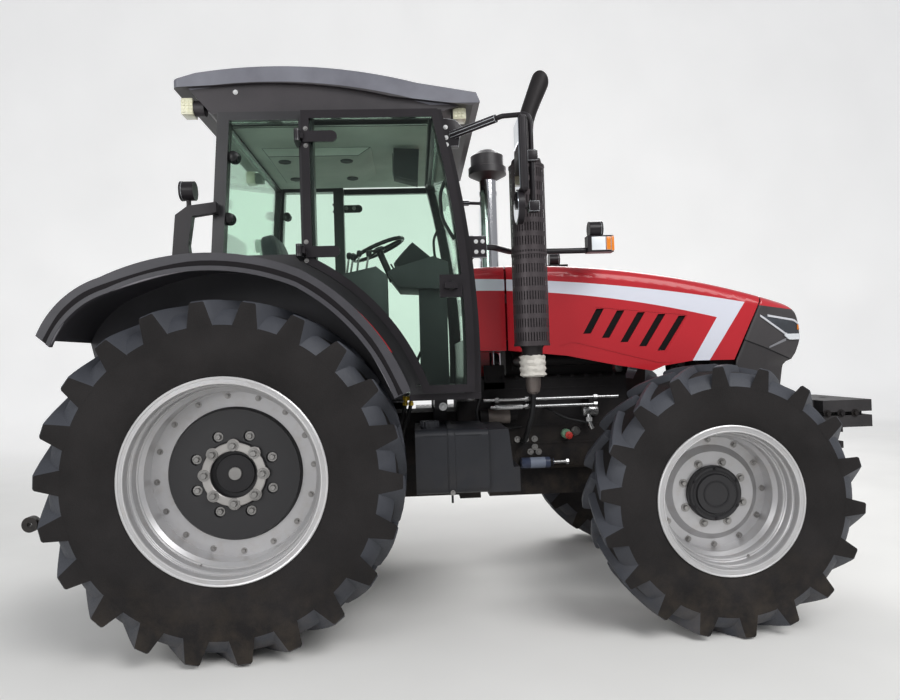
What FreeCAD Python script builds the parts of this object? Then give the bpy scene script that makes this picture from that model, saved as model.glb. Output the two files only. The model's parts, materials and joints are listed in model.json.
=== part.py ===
import FreeCAD, Part
import math
import os

from FreeCAD import Vector

# Farm tractor with a cab, four driven wheels and a rear three-point hitch.
# X runs forward from the rear axle, Y to the left and Z up from the ground, in millimetres.
# Every shape is drawn in that frame, and export() moves it so that the origin is under the middle.
# Paired pieces are drawn on the left and mirrored to the right.

# Wheels
rear_track = 1760.0
front_track = 1830.0
rear_tyre_r = 887.5
rear_tyre_width = 467.0
rear_rim_seat_r = 482.6
rear_rim_width = 406.4
rear_disc_recess = 250.0
rear_disc_r = 436.0
rear_hub_r = 345.0
rear_hub_ring_r = 172.0
rear_hub_hole_r = 120.0
rear_hub_pocket_r = 30.0
rear_hub_pocket_circle = 208.0
front_tyre_r = 687.5
front_tyre_width = 378.0
front_rim_seat_r = 355.6
front_rim_width = 330.2
front_disc_recess = 250.0
front_disc_r = 306.0
front_dish_outer_r = 253.0
front_dish_inner_r = 219.0
front_hub_r = 144.0
front_cap_r = 108.0
front_hub_length = 62.0
rim_flange_height = 25.4
rim_flange_thick = 12.0
rim_sheet = 10.0
disc_thick = 12.0
hub_plate_thick = 26.0
hub_pocket_depth = 14.0
hub_pocket_count = 8
rear_lug_count = 22
front_lug_count = 18
rear_lug_height = 42.0
front_lug_height = 36.0
lug_centre_half = 21.0
lug_end_half = 40.0
lug_flare = 0.15
lug_slope = 1.03
lug_side_drop = 150.0
lug_inset = 6.0
lug_end_slope = 0.06
lug_root = 24.0
lug_overlap = 12.0
lug_fall = 12.0
tyre_shoulder = 34.0
running_gap = 0.3
pin_play = 0.05

# Front axle and steering
kingpin_y = 660.0
kingpin_r = 24.0
knuckle_r = 85.0
knuckle_half = 92.0
spindle_r = 86.0
spindle_flange_r = 140.0
spindle_flange_thick = 26.0
yoke_ear_thick = 32.0
yoke_half = 60.0
axle_beam_width = 120.0
axle_beam_depth = 112.0
differential_r = 150.0
steer_arm_reach = 190.0
steer_arm_width = 42.0
steer_arm_thick = 24.0
steer_arm_drop = 70.0
tie_rod_r = 15.0
axle_pivot_gap = 10.0

# Driveline
engine_rear = 1330.0
engine_length = 940.0
engine_axle_gap = 246.0
engine_half = 210.0
engine_bottom = 740.0
engine_top = 1330.0
sump_front_setback = 150.0
sump_half = 150.0
sump_bottom = 575.0
head_half = 130.0
head_height = 230.0
manifold_rise = 90.0
manifold_r = 36.0
manifold_gap = 20.0
flange_half = 56.0
flange_thick = 12.0
fan_drop = 375.0
fan_r = 255.0
fan_blade_width = 92.0
fan_blade_thick = 7.0
fan_blade_count = 7
fan_pitch = 28.0
fan_hub_r = 70.0
fan_shaft_r = 28.0
pulley_r = 92.0
pulley_width = 34.0
starter_r = 46.0
starter_z = 1086.0
filter_r = 31.0
filter_z = 788.0
filter_rod_r = 10.0
oil_cooler_z = 1102.0
oil_cooler_r = 34.0
side_joint_r = 15.0
generator_r = 68.0
generator_z = 1240.0
left_filter_r = 48.0
side_pipe_r = 9.0
side_pipe_reach = 350.0
side_pipe_high = 1190.0
side_pipe_low = 1146.0
gearbox_half = 190.0
gearbox_top = 1120.0
gearbox_bottom = 600.0
rear_case_back = -300.0
rear_case_front = 360.0
rear_case_half = 250.0
rear_case_top = 1205.0
rear_case_bottom = 640.0
trumpet_inner_r = 165.0
trumpet_outer_r = 105.0
axle_flange_r = 178.0
axle_flange_thick = 28.0
pto_r = 17.5
pto_length = 76.0
pto_height = 690.0
pto_boss_r = 70.0
pto_boss_length = 40.0

# Front frame, weights and radiator
frame_half = 205.0
frame_top = 1120.0
frame_bottom = 830.0
frame_overhang = 934.0
carrier_length = 350.0
carrier_half = 300.0
carrier_top = 1112.0
carrier_bottom = 942.0
carrier_plate_thick = 40.0
tow_block_setback = 190.0
tow_block_length = 130.0
tow_block_half = 95.0
tow_block_bottom = 782.0
tow_pin_r = 16.0
radiator_ahead = 244.0
radiator_depth = 180.0
radiator_half = 330.0
radiator_drop = 75.0
shroud_depth = 55.0
shroud_gap = 14.0
shroud_thick = 10.0

# Cab
cab_half = 800.0
side_frame_thick = 70.0
cab_top = 2790.0
floor_top = 1262.0
floor_thick = 34.0
pillar_b_rear = 365.0
pillar_b_front = 440.0
pillar_c_top_rear = -57.0
pillar_c_foot_rear = -112.0
pillar_c_width = 62.0
window_rail = 46.0
front_pillar_foot = 1296.0
front_pillar_mid = 1276.0
front_pillar_head = 1128.0
front_pillar_foot_width = 92.0
front_pillar_head_width = 66.0
windshield_bottom = 1560.0
glass_thick = 6.0
firewall_thick = 30.0
rear_window_sill = 1480.0
rear_frame_thick = 45.0
roof_half = 800.0
roof_rear = -288.0
roof_front = 1340.0
roof_lip_rise = 135.0
roof_peak_rise = 105.0
roof_corner_r = 33.0
roof_lamp_r = 42.0
roof_lamp_length = 62.0
sill_height = 44.0
door_rail_width = 88.0

# Doors
door_gap = 3.0
door_thick = 37.0
door_edge_gap = 70.0
door_rear_edge = 384.0
door_frame_width = 42.0
door_foot = 1268.0
door_head_gap = 10.0
door_hinge_x = 368.0
door_hinge_y = 905.0
door_hinge_low_z = 2029.0
door_hinge_high_z = 2637.0
door_hinge_lean = 3.0
hinge_pin_r = 8.0
hinge_barrel_r = 16.0
hinge_barrel_half = 20.0
hinge_ear_thick = 12.0
hinge_arm_height = 30.0
hinge_strap_length = 205.0
hinge_strap_height = 58.0
hinge_strap_thick = 14.0
door_handle_x = 1150.0
door_handle_z = 1834.0
door_handle_length = 70.0
door_lock_half = 60.0

# Fenders
fender_inner = 600.0
fender_outer = 1112.0
fender_sheet = 20.0
fender_wall_thick = 18.0
fender_lip_depth = 72.0
fender_lip_thick = 24.0
fender_lip_rise = 14.0
fender_rib_height = 22.0
fender_rib_proud = 6.0

# Hood and nose
hood_half = 420.0
hood_sheet = 12.0
hood_rear = 1502.0
hood_seam = 12.0
hood_edge_r = 70.0
hood_rise = 660.0
hood_front_fall = 215.0
hood_crown_rise = 75.5
hood_foot_depth = 290.0
hood_seam_fall = 96.0
cowl_rear = 1300.0
nose_seam_ahead = 543.0
nose_seam_lean = 187.0
nose_length = 336.0
nose_side_taper = 85.0
nose_foot_drop = 403.0
skirt_length = 330.0
skirt_half = 408.0
skirt_low = 1190.0
vent_count = 5
vent_width = 46.0
panel_depth = 3.0
crease_height = 9.0
hood_pivot_inset = 3.0
hood_pivot_drop = 8.0
hood_pin_r = 4.0
hood_hinge_y = 230.0
hood_hinge_half = 30.0
hood_ear = 18.0
headlamp_inner = 200.0
grille_half = 185.0
grille_slot = 17.0
grille_pitch = 34.0
grille_count = 4

# Exhaust and intake
muffler_x = 1604.0
muffler_y = 712.0
muffler_r = 98.0
muffler_low = 1505.0
muffler_high = 2555.0
muffler_cone = 60.0
shield_gap = 9.0
shield_thick = 3.0
shield_margin = 45.0
shield_rows = 10
shield_columns = 4
shield_slot_width = 15.0
shield_slot_share = 0.62
wrap_r = 68.0
wrap_low = 1330.0
wrap_tip = 1235.0
wrap_tip_r = 26.0
exhaust_pipe_r = 44.0
exhaust_bend_z = 2860.0
exhaust_tip_z = 3020.0
exhaust_tip_x = 1690.0
downpipe_r = 44.0
intake_x = 1515.0
intake_y = 487.0
intake_r = 62.0
intake_foot_z = 1380.0
intake_head_z = 2800.0
precleaner_r = 120.0
precleaner_rim_r = 138.0
precleaner_top = 2955.0
precleaner_cone = 60.0
intake_collar_r = 66.0

# Tank, steps and rear equipment
tank_rear = 935.0
tank_front = 1316.0
tank_box_length = 164.0
tank_box_slope = 20.0
tank_box_step = 34.0
tank_outer = 900.0
tank_inner = 380.0
tank_low = 742.0
tank_high = 1077.0
tank_box_split = 870.0
tank_corner_r = 40.0
tank_strap_x = 1107.0
tank_strap_width = 32.0
tank_strap_thick = 4.0
tank_cap_r = 48.0
step_rear = 940.0
step_front = 1300.0
step_inner = 330.0
step_outer = 880.0
step_low = 520.0
step_high = 1100.0
step_depth = 190.0
step_board = 25.0
link_pivot_x = -220.0
link_pivot_y = 300.0
link_pivot_z = 570.0
link_end_x = -1268.0
link_end_y = 420.0
link_end_z = 580.0
link_height = 74.0
link_thick = 30.0
link_pin_r = 16.0
hook_r = 44.0
hook_bore_r = 14.35
hook_width = 45.0
rod_reach = 430.0
lift_shaft_x = -120.0
lift_shaft_z = 1120.0
lift_shaft_r = 38.0
lift_arm_width = 60.0
lift_rod_r = 14.0
lift_eye_r = 34.0
lift_pin_r = 12.0
drawbar_front = 60.0
drawbar_rear = -760.0
drawbar_half = 40.0
drawbar_low = 430.0
drawbar_high = 470.0
drawbar_bore_r = 16.5
top_link_x = -375.0
top_link_z = 985.0
top_link_length = 560.0
top_link_lean = 8.0
top_link_r = 17.0
top_link_eye_r = 30.0
top_link_eye_half = 20.0
top_link_bore_r = 12.85

# Mirrors and lamps
arm_tube_r = 13.0
mirror_y = 990.0
mirror_x = 1575.0
mirror_high = 2690.0
mirror_low = 2180.0
mirror_width = 180.0
mirror_height = 385.0
mirror_thick = 42.0
round_mirror_r = 88.0
lamp_arm_z = 2045.0
lamp_arm_y = 581.0
lamp_arm_end = 1960.0
lamp_length = 140.0
lamp_height = 95.0
lamp_width = 70.0
work_lamp_r = 45.0
rear_lamp_r = 50.0
rear_lamp_x = -215.0
rear_lamp_rise = 448.0
rear_bar_half = 24.0

head_top = engine_top + head_height
manifold_z = engine_top + manifold_rise
hood_rear_height = engine_top + hood_rise
hood_front_height = hood_rear_height - hood_front_fall
hood_foot_height = hood_front_height - hood_foot_depth
fan_z = hood_front_height - fan_drop
manifold_reach = head_half + manifold_gap + 2 * manifold_r + flange_thick
engine_front = engine_rear + engine_length
wheelbase = engine_front + engine_axle_gap
sump_front = engine_front - sump_front_setback
radiator_rear = wheelbase + radiator_ahead
radiator_front = radiator_rear + radiator_depth
radiator_top = hood_front_height - radiator_drop
frame_front = wheelbase + frame_overhang
carrier_front = frame_front + carrier_length
tow_block_rear = carrier_front - tow_block_setback
tow_block_front = tow_block_rear + tow_block_length
roof_lip = cab_top + roof_lip_rise
roof_peak = roof_lip + roof_peak_rise
door_head = cab_top - door_head_gap
nose_seam_top = wheelbase + nose_seam_ahead
nose_seam_foot = nose_seam_top - nose_seam_lean
nose_tip = nose_seam_top + nose_length
nose_low = hood_front_height - nose_foot_drop
tank_box_front = tank_front + tank_box_length
rear_axle_z = rear_tyre_r
front_axle_z = front_tyre_r
rear_flange_y = rear_track / 2 + rear_rim_width / 2
front_flange_y = front_track / 2 + front_rim_width / 2
rear_mount_y = rear_flange_y - rear_disc_recess - disc_thick
front_mount_y = front_flange_y - front_disc_recess - disc_thick
x_mid = (carrier_front + link_end_x - hook_r) / 2


# Shapes from simple outlines

def box(x, y, z):
    return Part.makeBox(x[1] - x[0], y[1] - y[0], z[1] - z[0], Vector(x[0], y[0], z[0]))


def rod(start, end, radius):
    start = Vector(*start)
    along = Vector(*end) - start
    return Part.makeCylinder(radius, along.Length, start, along)


def wire(points, place):
    """Closed wire. A point with a third value lies on the arc between its neighbours."""
    edges = []
    count = len(points)
    index = 0
    while index < count:
        here = place(points[index])
        following = points[(index + 1) % count]
        if len(following) == 3:
            end = place(points[(index + 2) % count])
            edges.append(Part.Arc(here, place(following), end).toShape())
            index += 2
        else:
            edges.append(Part.LineSegment(here, place(following)).toShape())
            index += 1
    return Part.Wire(edges)


def side_plate(points, y_low, y_high):
    """Plate from an outline of x and z, between two distances from the middle."""
    face = Part.Face(wire(points, lambda p: Vector(p[0], y_low, p[1])))
    return face.extrude(Vector(0, y_high - y_low, 0))


def rear_plate(points, x_low, x_high):
    """Plate from an outline of y and z."""
    face = Part.Face(wire(points, lambda p: Vector(x_low, p[0], p[1])))
    return face.extrude(Vector(x_high - x_low, 0, 0))


def turned(points, x, z):
    """Ring from an outline of radius and y, turned about a cross axis at x and z."""
    face = Part.Face(wire(points, lambda p: Vector(p[0], p[1], 0)))
    ring = face.revolve(Vector(0, 0, 0), Vector(0, 1, 0), 360)
    ring.translate(Vector(x, 0, z))
    return ring


def spun(points, x, y):
    """Solid from an outline of radius and z, turned about an upright axis at x and y."""
    face = Part.Face(wire(points, lambda p: Vector(p[0], 0, p[1])))
    solid = face.revolve(Vector(0, 0, 0), Vector(0, 0, 1), 360)
    solid.translate(Vector(x, y, 0))
    return solid


def flat_solid(loops):
    """Closed solid from flat faces, each given by its corners."""
    faces = [Part.Face(Part.makePolygon(loop + loop[:1])) for loop in loops]
    shell = Part.makeShell(faces)
    shell.sewShape()
    solid = Part.makeSolid(shell)
    if solid.Volume < 0:
        solid.reverse()
    return solid


def around(x, z, radius, turn, y):
    """Point at a radius and a turn about the cross axis at x and z."""
    return Vector(x + radius * math.cos(turn), y, z + radius * math.sin(turn))


def joined(shapes):
    whole = shapes[0]
    if len(shapes) > 1:
        whole = whole.fuse(shapes[1:])
    return whole.removeSplitter()


def mirrored(shape):
    return shape.mirror(Vector(0, 0, 0), Vector(0, 1, 0))


def tube_path(points, radius, bends):
    """Round bar along straight runs with round bends at the inner points."""
    points = [Vector(*p) for p in points]
    edges = []
    start = points[0]
    for index in range(1, len(points) - 1):
        corner = points[index]
        back = (points[index - 1] - corner).normalize()
        ahead = (points[index + 1] - corner).normalize()
        half = back.getAngle(ahead) / 2
        reach = bends / math.tan(half)
        first = corner + back * reach
        last = corner + ahead * reach
        middle_way = (back + ahead).normalize()
        centre = corner + middle_way * (bends / math.sin(half))
        middle = centre - middle_way * bends
        edges.append(Part.LineSegment(start, first).toShape())
        edges.append(Part.Arc(first, middle, last).toShape())
        start = last
    edges.append(Part.LineSegment(start, points[-1]).toShape())
    section = Part.Wire(Part.makeCircle(radius, points[0], points[1] - points[0]))
    return Part.Wire(edges).makePipeShell([section], True, False)


# Curves that several pieces share

fender_path = [
    (908.0, 1290.0),
    (733.0, 1606.0),
    (403.0, 1887.0),
    (-70.0, 1980.0),
    (-540.0, 1875.0),
    (-728.0, 1765.0),
    (-836.0, 1607.0),
]


def beyond(point, distance):
    """The point moved straight away from the rear axle."""
    x = point[0]
    z = point[1] - rear_axle_z
    reach = math.hypot(x, z)
    scale = (reach + distance) / reach
    return (x * scale, rear_axle_z + z * scale)


def arc_through(points):
    """The circle through three points of x and z."""
    edge = Part.Arc(*[Vector(p[0], 0, p[1]) for p in points]).toShape()
    return edge.Curve


def arc_height(circle, x):
    """Height of a circle's upper half above x."""
    return circle.Center.z + math.sqrt(circle.Radius ** 2 - (x - circle.Center.x) ** 2)


def arc_reach(circle, z):
    """Place of a circle's front half at a height."""
    return circle.Center.x + math.sqrt(circle.Radius ** 2 - (z - circle.Center.z) ** 2)


def fender_line(distance):
    """The fender's top line, moved out by a distance, as three arcs from the front."""
    moved = [beyond(p, distance) for p in fender_path]
    return [moved[0], moved[1] + (1,), moved[2], moved[3] + (1,), moved[4], moved[5] + (1,), moved[6]]


def fender_top_at(x, distance):
    """Height of the fender's top line above a place on it ahead of its first seam."""
    ends = [beyond(p, distance) for p in fender_path[:3]]
    if x < ends[2][0]:
        ends = [beyond(p, distance) for p in fender_path[2:5]]
    return arc_height(arc_through(ends), x)


def fender_band(low, high, y_low, y_high):
    """Strip along the fender's top line between two distances from it."""
    outer = fender_line(high)
    inner = fender_line(low)
    inner.reverse()
    return side_plate(outer + inner, y_low, y_high)


# Wheels

def tyre(x, z, centre_y, radius, width, seat_r, rim_width, lug_height, lug_count):
    """Carcass of flat faces, one to a pitch of its lugs, and two rows of slanted lugs by turns."""
    flange_r = seat_r + rim_flange_height + 6
    bead = rim_width / 2 - rim_flange_thick
    crown_r = radius - lug_height
    wall_r = (flange_r + crown_r) / 2
    seat = seat_r / math.cos(math.pi / lug_count)
    half = [
        (seat, bead),
        (flange_r, bead),
        (wall_r, width / 2 - 1),
        (crown_r, width / 2 - tyre_shoulder),
    ]
    profile = half + [(r, -y) for r, y in reversed(half)]
    loops = []
    for step in range(lug_count):
        turn = 2 * math.pi * step / lug_count
        following = 2 * math.pi * (step + 1) / lug_count
        for index, (r, y) in enumerate(profile):
            after_r, after_y = profile[(index + 1) % len(profile)]
            loops.append([
                around(x, z, r, turn, centre_y + y),
                around(x, z, after_r, turn, centre_y + after_y),
                around(x, z, after_r, following, centre_y + after_y),
                around(x, z, r, following, centre_y + y),
            ])
    carcass = flat_solid(loops)
    lugs = []
    for row in (1, -1):
        first = lug(x, z, centre_y, radius, width, crown_r, row)
        for index in range(lug_count):
            copy = first.copy()
            share = index + (0.5 if row < 0 else 0.0)
            copy.rotate(Vector(x, 0, z), Vector(0, 1, 0), -360.0 * share / lug_count)
            lugs.append(copy)
    return carcass.fuse(lugs)


def lug(x, z, centre_y, radius, width, crown_r, row):
    """One slanted bar from past the middle to the side, wide and deep at its outer end."""
    lean = lug_slope * width / 4 / radius
    along = math.sin(lean) * radius
    level = math.cos(lean) * radius
    stations = [
        # across the tread, along it, top, foot, half width
        (-lug_overlap, -along, level, crown_r - lug_root, lug_centre_half),
        (width / 2 - lug_inset, along, level - lug_fall, crown_r - lug_side_drop, lug_end_half),
    ]
    rings = []
    for y, start, top, foot, half in stations:
        wide = half + lug_flare * (top - foot)
        place = centre_y + row * y
        rings.append([
            Vector(x + foot, place, z + start - wide),
            Vector(x + top, place, z + start - half),
            Vector(x + top, place, z + start + half),
            Vector(x + foot, place, z + start + wide),
        ])
    near, far = rings
    for index in (1, 2):
        far[index] = far[index] + (near[index] - far[index]) * lug_end_slope
    loops = [near, far]
    for index in range(4):
        after = (index + 1) % 4
        loops.append([near[index], near[after], far[after], far[index]])
    return flat_solid(loops)


rear_rim_steps = [
    # share of the width, drop below the bead seat
    (0.13, 0.0),
    (0.17, 14.0),
    (0.29, 14.0),
    (0.36, 42.0),
    (0.68, 42.0),
    (0.78, 0.0),
]

front_rim_steps = [
    (0.12, 0.0),
    (0.16, 11.0),
    (0.28, 11.0),
    (0.33, 27.0),
    (0.46, 27.0),
    (0.52, 45.0),
    (0.82, 45.0),
    (0.90, 0.0),
]


def rim_barrel(x, z, flange_y, seat_r, width, steps):
    """Barrel of a rim of even thickness, stepped down from its bead seats."""
    flange_r = seat_r + rim_flange_height
    outer = [(flange_r, 0.0), (flange_r, rim_flange_thick), (seat_r, rim_flange_thick)]
    outer += [(seat_r - drop, width * share) for share, drop in steps]
    outer += [(seat_r, width - rim_flange_thick), (flange_r, width - rim_flange_thick), (flange_r, width)]
    inner = [(seat_r - rim_sheet, 0.0)]
    inner += [(seat_r - drop - rim_sheet, width * share) for share, drop in steps]
    inner.append((seat_r - rim_sheet, width))
    inner.reverse()
    return turned([(r, flange_y - inboard) for r, inboard in outer + inner], x, z)


def hub_pockets(z, y, circle, radius, depth, count):
    """Round pockets set about the wheel's axis."""
    pockets = []
    for index in range(count):
        centre = around(0, z, circle, 2 * math.pi * (index + 0.5) / count, y)
        pockets.append(Part.makeCylinder(radius, depth, centre, Vector(0, 1, 0)))
    return pockets


def rear_rim():
    barrel = rim_barrel(0, rear_axle_z, rear_flange_y, rear_rim_seat_r, rear_rim_width, rear_rim_steps)
    back = rear_mount_y
    face = back + disc_thick
    plate = face + hub_plate_thick
    centre = [
        (0.0, back),
        (rear_disc_r, back),
        (rear_disc_r, face),
        (rear_hub_r, face),
        (rear_hub_r - 12, plate),
        (rear_hub_ring_r, plate),
        (rear_hub_ring_r - 8, plate + disc_thick),
        (rear_hub_hole_r, plate + disc_thick),
        (rear_hub_hole_r, face),
        (0.0, face),
    ]
    wheel = joined([barrel, turned(centre, 0, rear_axle_z)])
    return wheel.cut(hub_pockets(
        rear_axle_z, plate - hub_pocket_depth, rear_hub_pocket_circle, rear_hub_pocket_r,
        hub_pocket_depth + 1, hub_pocket_count
    ))


def front_rim():
    barrel = rim_barrel(
        wheelbase, front_axle_z, front_flange_y, front_rim_seat_r, front_rim_width, front_rim_steps
    )
    back = front_mount_y
    face = back + disc_thick
    step = face + hub_plate_thick
    centre = [
        (0.0, back),
        (front_disc_r, back),
        (front_disc_r, face),
        (front_dish_outer_r, face),
        (front_dish_inner_r, step),
        (front_hub_r, step),
        (front_hub_r, face + front_hub_length - 10),
        (front_hub_r - 10, face + front_hub_length),
        (front_cap_r, face + front_hub_length),
        (front_cap_r - 6, face + front_hub_length + 12),
        (0.0, face + front_hub_length + 12),
    ]
    return joined([barrel, turned(centre, wheelbase, front_axle_z)])


# Front axle

def front_axle_beam():
    half_beam = axle_beam_width / 2
    half_depth = axle_beam_depth / 2
    web_y = kingpin_y - knuckle_r - 20
    middle = box(
        (wheelbase - half_beam, wheelbase + half_beam),
        (-web_y + 10, web_y - 10),
        (front_axle_z - half_depth, front_axle_z + half_depth),
    )
    bulge = Part.makeSphere(differential_r, Vector(wheelbase, 0, front_axle_z))
    limits = box(
        (wheelbase - differential_r, wheelbase + differential_r),
        (-differential_r, differential_r),
        (front_axle_z - differential_r, frame_bottom - axle_pivot_gap),
    )
    pieces = [middle, bulge.common(limits)]
    ear_low = knuckle_half + running_gap
    for side in (1, -1):
        y_ends = sorted((side * (web_y - 50), side * web_y))
        pieces.append(box(
            (wheelbase - yoke_half, wheelbase + yoke_half),
            y_ends,
            (front_axle_z - ear_low - yoke_ear_thick, front_axle_z + ear_low + yoke_ear_thick),
        ))
        for end in (1, -1):
            z_ends = sorted((front_axle_z + end * ear_low, front_axle_z + end * (ear_low + yoke_ear_thick)))
            pieces.append(box(
                (wheelbase - yoke_half, wheelbase + yoke_half),
                sorted((side * (web_y - 50), side * kingpin_y)),
                z_ends,
            ))
            pieces.append(Part.makeCylinder(
                yoke_half, yoke_ear_thick, Vector(wheelbase, side * kingpin_y, z_ends[0])
            ))
    trunnion = rod(
        (wheelbase - differential_r - 60, 0, front_axle_z + half_depth),
        (wheelbase + differential_r + 60, 0, front_axle_z + half_depth),
        48.0,
    )
    pieces.append(trunnion)
    beam = joined(pieces)
    for side in (1, -1):
        reach = knuckle_half + yoke_ear_thick + 10
        beam = beam.cut(rod(
            (wheelbase, side * kingpin_y, front_axle_z - reach),
            (wheelbase, side * kingpin_y, front_axle_z + reach),
            kingpin_r + pin_play,
        ))
    return beam


def knuckle():
    y = kingpin_y
    end = front_mount_y - running_gap
    low = (wheelbase, y, front_axle_z - knuckle_half)
    body = rod(low, (wheelbase, y, front_axle_z + knuckle_half), knuckle_r)
    pin_reach = knuckle_half + yoke_ear_thick
    pin = rod((wheelbase, y, front_axle_z - pin_reach), (wheelbase, y, front_axle_z + pin_reach), kingpin_r)
    spindle = rod((wheelbase, y, front_axle_z), (wheelbase, end, front_axle_z), spindle_r)
    flange = rod(
        (wheelbase, end - spindle_flange_thick, front_axle_z),
        (wheelbase, end, front_axle_z),
        spindle_flange_r
    )
    arm_top = front_axle_z - steer_arm_drop + steer_arm_thick / 2
    arm_end = wheelbase - steer_arm_reach
    arm = box(
        (arm_end, wheelbase),
        (y - steer_arm_width / 2, y + steer_arm_width / 2),
        (arm_top - steer_arm_thick, arm_top),
    )
    eye = rod((arm_end, y, arm_top - steer_arm_thick), (arm_end, y, arm_top), steer_arm_width / 2)
    return joined([body, pin, spindle, flange, arm, eye])


def tie_rod():
    x = wheelbase - steer_arm_reach
    top = front_axle_z - steer_arm_drop - steer_arm_thick / 2 - running_gap
    z = top - tie_rod_r - 4
    bar = rod((x, -kingpin_y, z), (x, kingpin_y, z), tie_rod_r)
    ends = []
    for side in (1, -1):
        ends.append(rod((x, side * kingpin_y, z - tie_rod_r - 6), (x, side * kingpin_y, top), tie_rod_r + 8))
    return joined([bar] + ends)


# Driveline

def engine_block():
    """Plain block with sump and head, and the outside pieces that show under the hood."""
    block = box((engine_rear, engine_front), (-engine_half, engine_half), (engine_bottom, engine_top))
    block = block.makeFillet(30, [e for e in block.Edges if e.Length > engine_front - engine_rear - 1])
    sump = box((engine_rear + 60, sump_front), (-sump_half, sump_half), (sump_bottom, engine_bottom + 20))
    head = box((hood_rear + 20, engine_front - 60), (-head_half, head_half), (engine_top - 20, head_top))
    head = head.makeFillet(35, [e for e in head.Edges if e.BoundBox.ZMin > head_top - 1])
    return joined([block, sump, head] + engine_manifolds() + engine_side_pieces() + fan())


def engine_manifolds():
    """Exhaust manifold on the right and intake manifold on the left, each on three ports."""
    rear = hood_rear + 60
    front = engine_front - 100
    pieces = []
    for side in (1, -1):
        y = side * (head_half + manifold_gap + manifold_r)
        pieces.append(rod((rear, y, manifold_z), (front, y, manifold_z), manifold_r))
        for index in range(3):
            x = rear + 60 + index * (front - rear - 120) / 2
            pieces.append(rod((x, side * (head_half - 5), manifold_z), (x, y, manifold_z), manifold_r - 8))
    pieces.append(box(
        (muffler_x - flange_half, muffler_x + flange_half),
        (-manifold_reach, -manifold_reach + flange_thick + manifold_r / 2),
        (manifold_z - flange_half, manifold_z + flange_half),
    ))
    return pieces


def engine_side_pieces():
    """Starter, filters, oil pipes and generator on the block's sides."""
    rear = engine_rear
    front = engine_front
    pieces = []
    right_side = [
        # rear end, front end, distance from the block's side, height, radius
        (rear + 6, rear + 190, 40.0, starter_z, starter_r),
        (rear + 190, rear + 236, 34.0, starter_z, starter_r - 16),
        (rear + 253, rear + 450, 26.0, filter_z, filter_r),
        (rear + 440, rear + 537, 26.0, filter_z, filter_rod_r),
        (front - 289, front - 202, 28.0, oil_cooler_z, oil_cooler_r),
    ]
    for start, end, reach, z, radius in right_side:
        y = -engine_half - reach
        pieces.append(rod((start, y, z), (end, y, z), radius))
    pipes = [
        # rear end, front end, height, radius
        (rear + 25, front - 101, side_pipe_high, side_pipe_r),
        (rear + 66, front - 240, side_pipe_low, side_pipe_r),
        (rear + 109, rear + 253, side_pipe_low, side_joint_r),
    ]
    for start, end, z, radius in pipes:
        pieces.append(rod((start, -side_pipe_reach, z), (end, -side_pipe_reach, z), radius))
    for x in (rear + 90, rear + 310, front - 280):
        pieces.append(box(
            (x, x + 26), (-side_pipe_reach - side_pipe_r, -engine_half + 5),
            (side_pipe_low - 4, side_pipe_high + 4),
        ))
    generator_y = engine_half + generator_r - 13
    generator = rod(
        (front - 180, generator_y, generator_z), (front - 50, generator_y, generator_z), generator_r
    )
    left_y = engine_half + left_filter_r - 6
    left_filter = rod(
        (rear + 380, left_y, filter_z + 32), (rear + 380, left_y, filter_z + 212), left_filter_r
    )
    return pieces + [generator, left_filter]


def fan():
    """Cooling fan on its shaft, just behind the radiator."""
    rear = radiator_rear - shroud_depth + 8
    front = radiator_rear - 8
    middle = (rear + front) / 2
    pulley_rear = engine_front + 20
    pieces = [
        rod((engine_front - 80, 0, fan_z), (front, 0, fan_z), fan_shaft_r),
        rod((rear, 0, fan_z), (front, 0, fan_z), fan_hub_r),
        rod((pulley_rear, 0, fan_z), (pulley_rear + pulley_width, 0, fan_z), pulley_r),
    ]
    for index in range(fan_blade_count):
        blade = box(
            (middle - fan_blade_thick / 2, middle + fan_blade_thick / 2),
            (-fan_blade_width / 2, fan_blade_width / 2),
            (fan_z + fan_hub_r - 10, fan_z + fan_r),
        )
        blade.rotate(Vector(middle, 0, fan_z), Vector(0, 0, 1), fan_pitch)
        blade.rotate(Vector(middle, 0, fan_z), Vector(1, 0, 0), 360.0 * index / fan_blade_count)
        pieces.append(blade)
    return pieces


def transmission_housing():
    gearbox = box(
        (rear_case_front - 40, engine_rear - running_gap),
        (-gearbox_half, gearbox_half),
        (gearbox_bottom, gearbox_top),
    )
    bell = box(
        (engine_rear - 130, engine_rear - running_gap),
        (-engine_half, engine_half),
        (gearbox_bottom - 20, gearbox_top + 60),
    )
    case = box(
        (rear_case_back, rear_case_front), (-rear_case_half, rear_case_half), (
            rear_case_bottom, rear_case_top
        )
    )
    long_edges = [e for e in case.Edges if e.BoundBox.YLength < 1 and e.BoundBox.XLength > 300]
    case = case.makeFillet(50, long_edges)
    boss = rod(
        (rear_case_back - pto_boss_length, 0, pto_height), (rear_case_back + 10, 0, pto_height), pto_boss_r
    )
    shaft_end = rear_case_back - pto_boss_length - pto_length
    shaft = rod((shaft_end, 0, pto_height), (rear_case_back, 0, pto_height), pto_r)
    return joined([gearbox, bell, case, boss, shaft])


def rear_axle_housing():
    """One trumpet with its wheel flange; the case between them carries both."""
    start = rear_case_half + running_gap
    end = rear_mount_y - running_gap
    taper_end = end - axle_flange_thick - 20
    trumpet = turned(
        [
            (0.0, start),
            (trumpet_inner_r + 40, start),
            (trumpet_inner_r + 40, start + 25),
            (trumpet_inner_r, start + 25),
            (trumpet_outer_r, taper_end),
            (axle_flange_r, end - axle_flange_thick),
            (axle_flange_r, end),
            (0.0, end),
        ],
        0,
        rear_axle_z,
    )
    return trumpet


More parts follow.
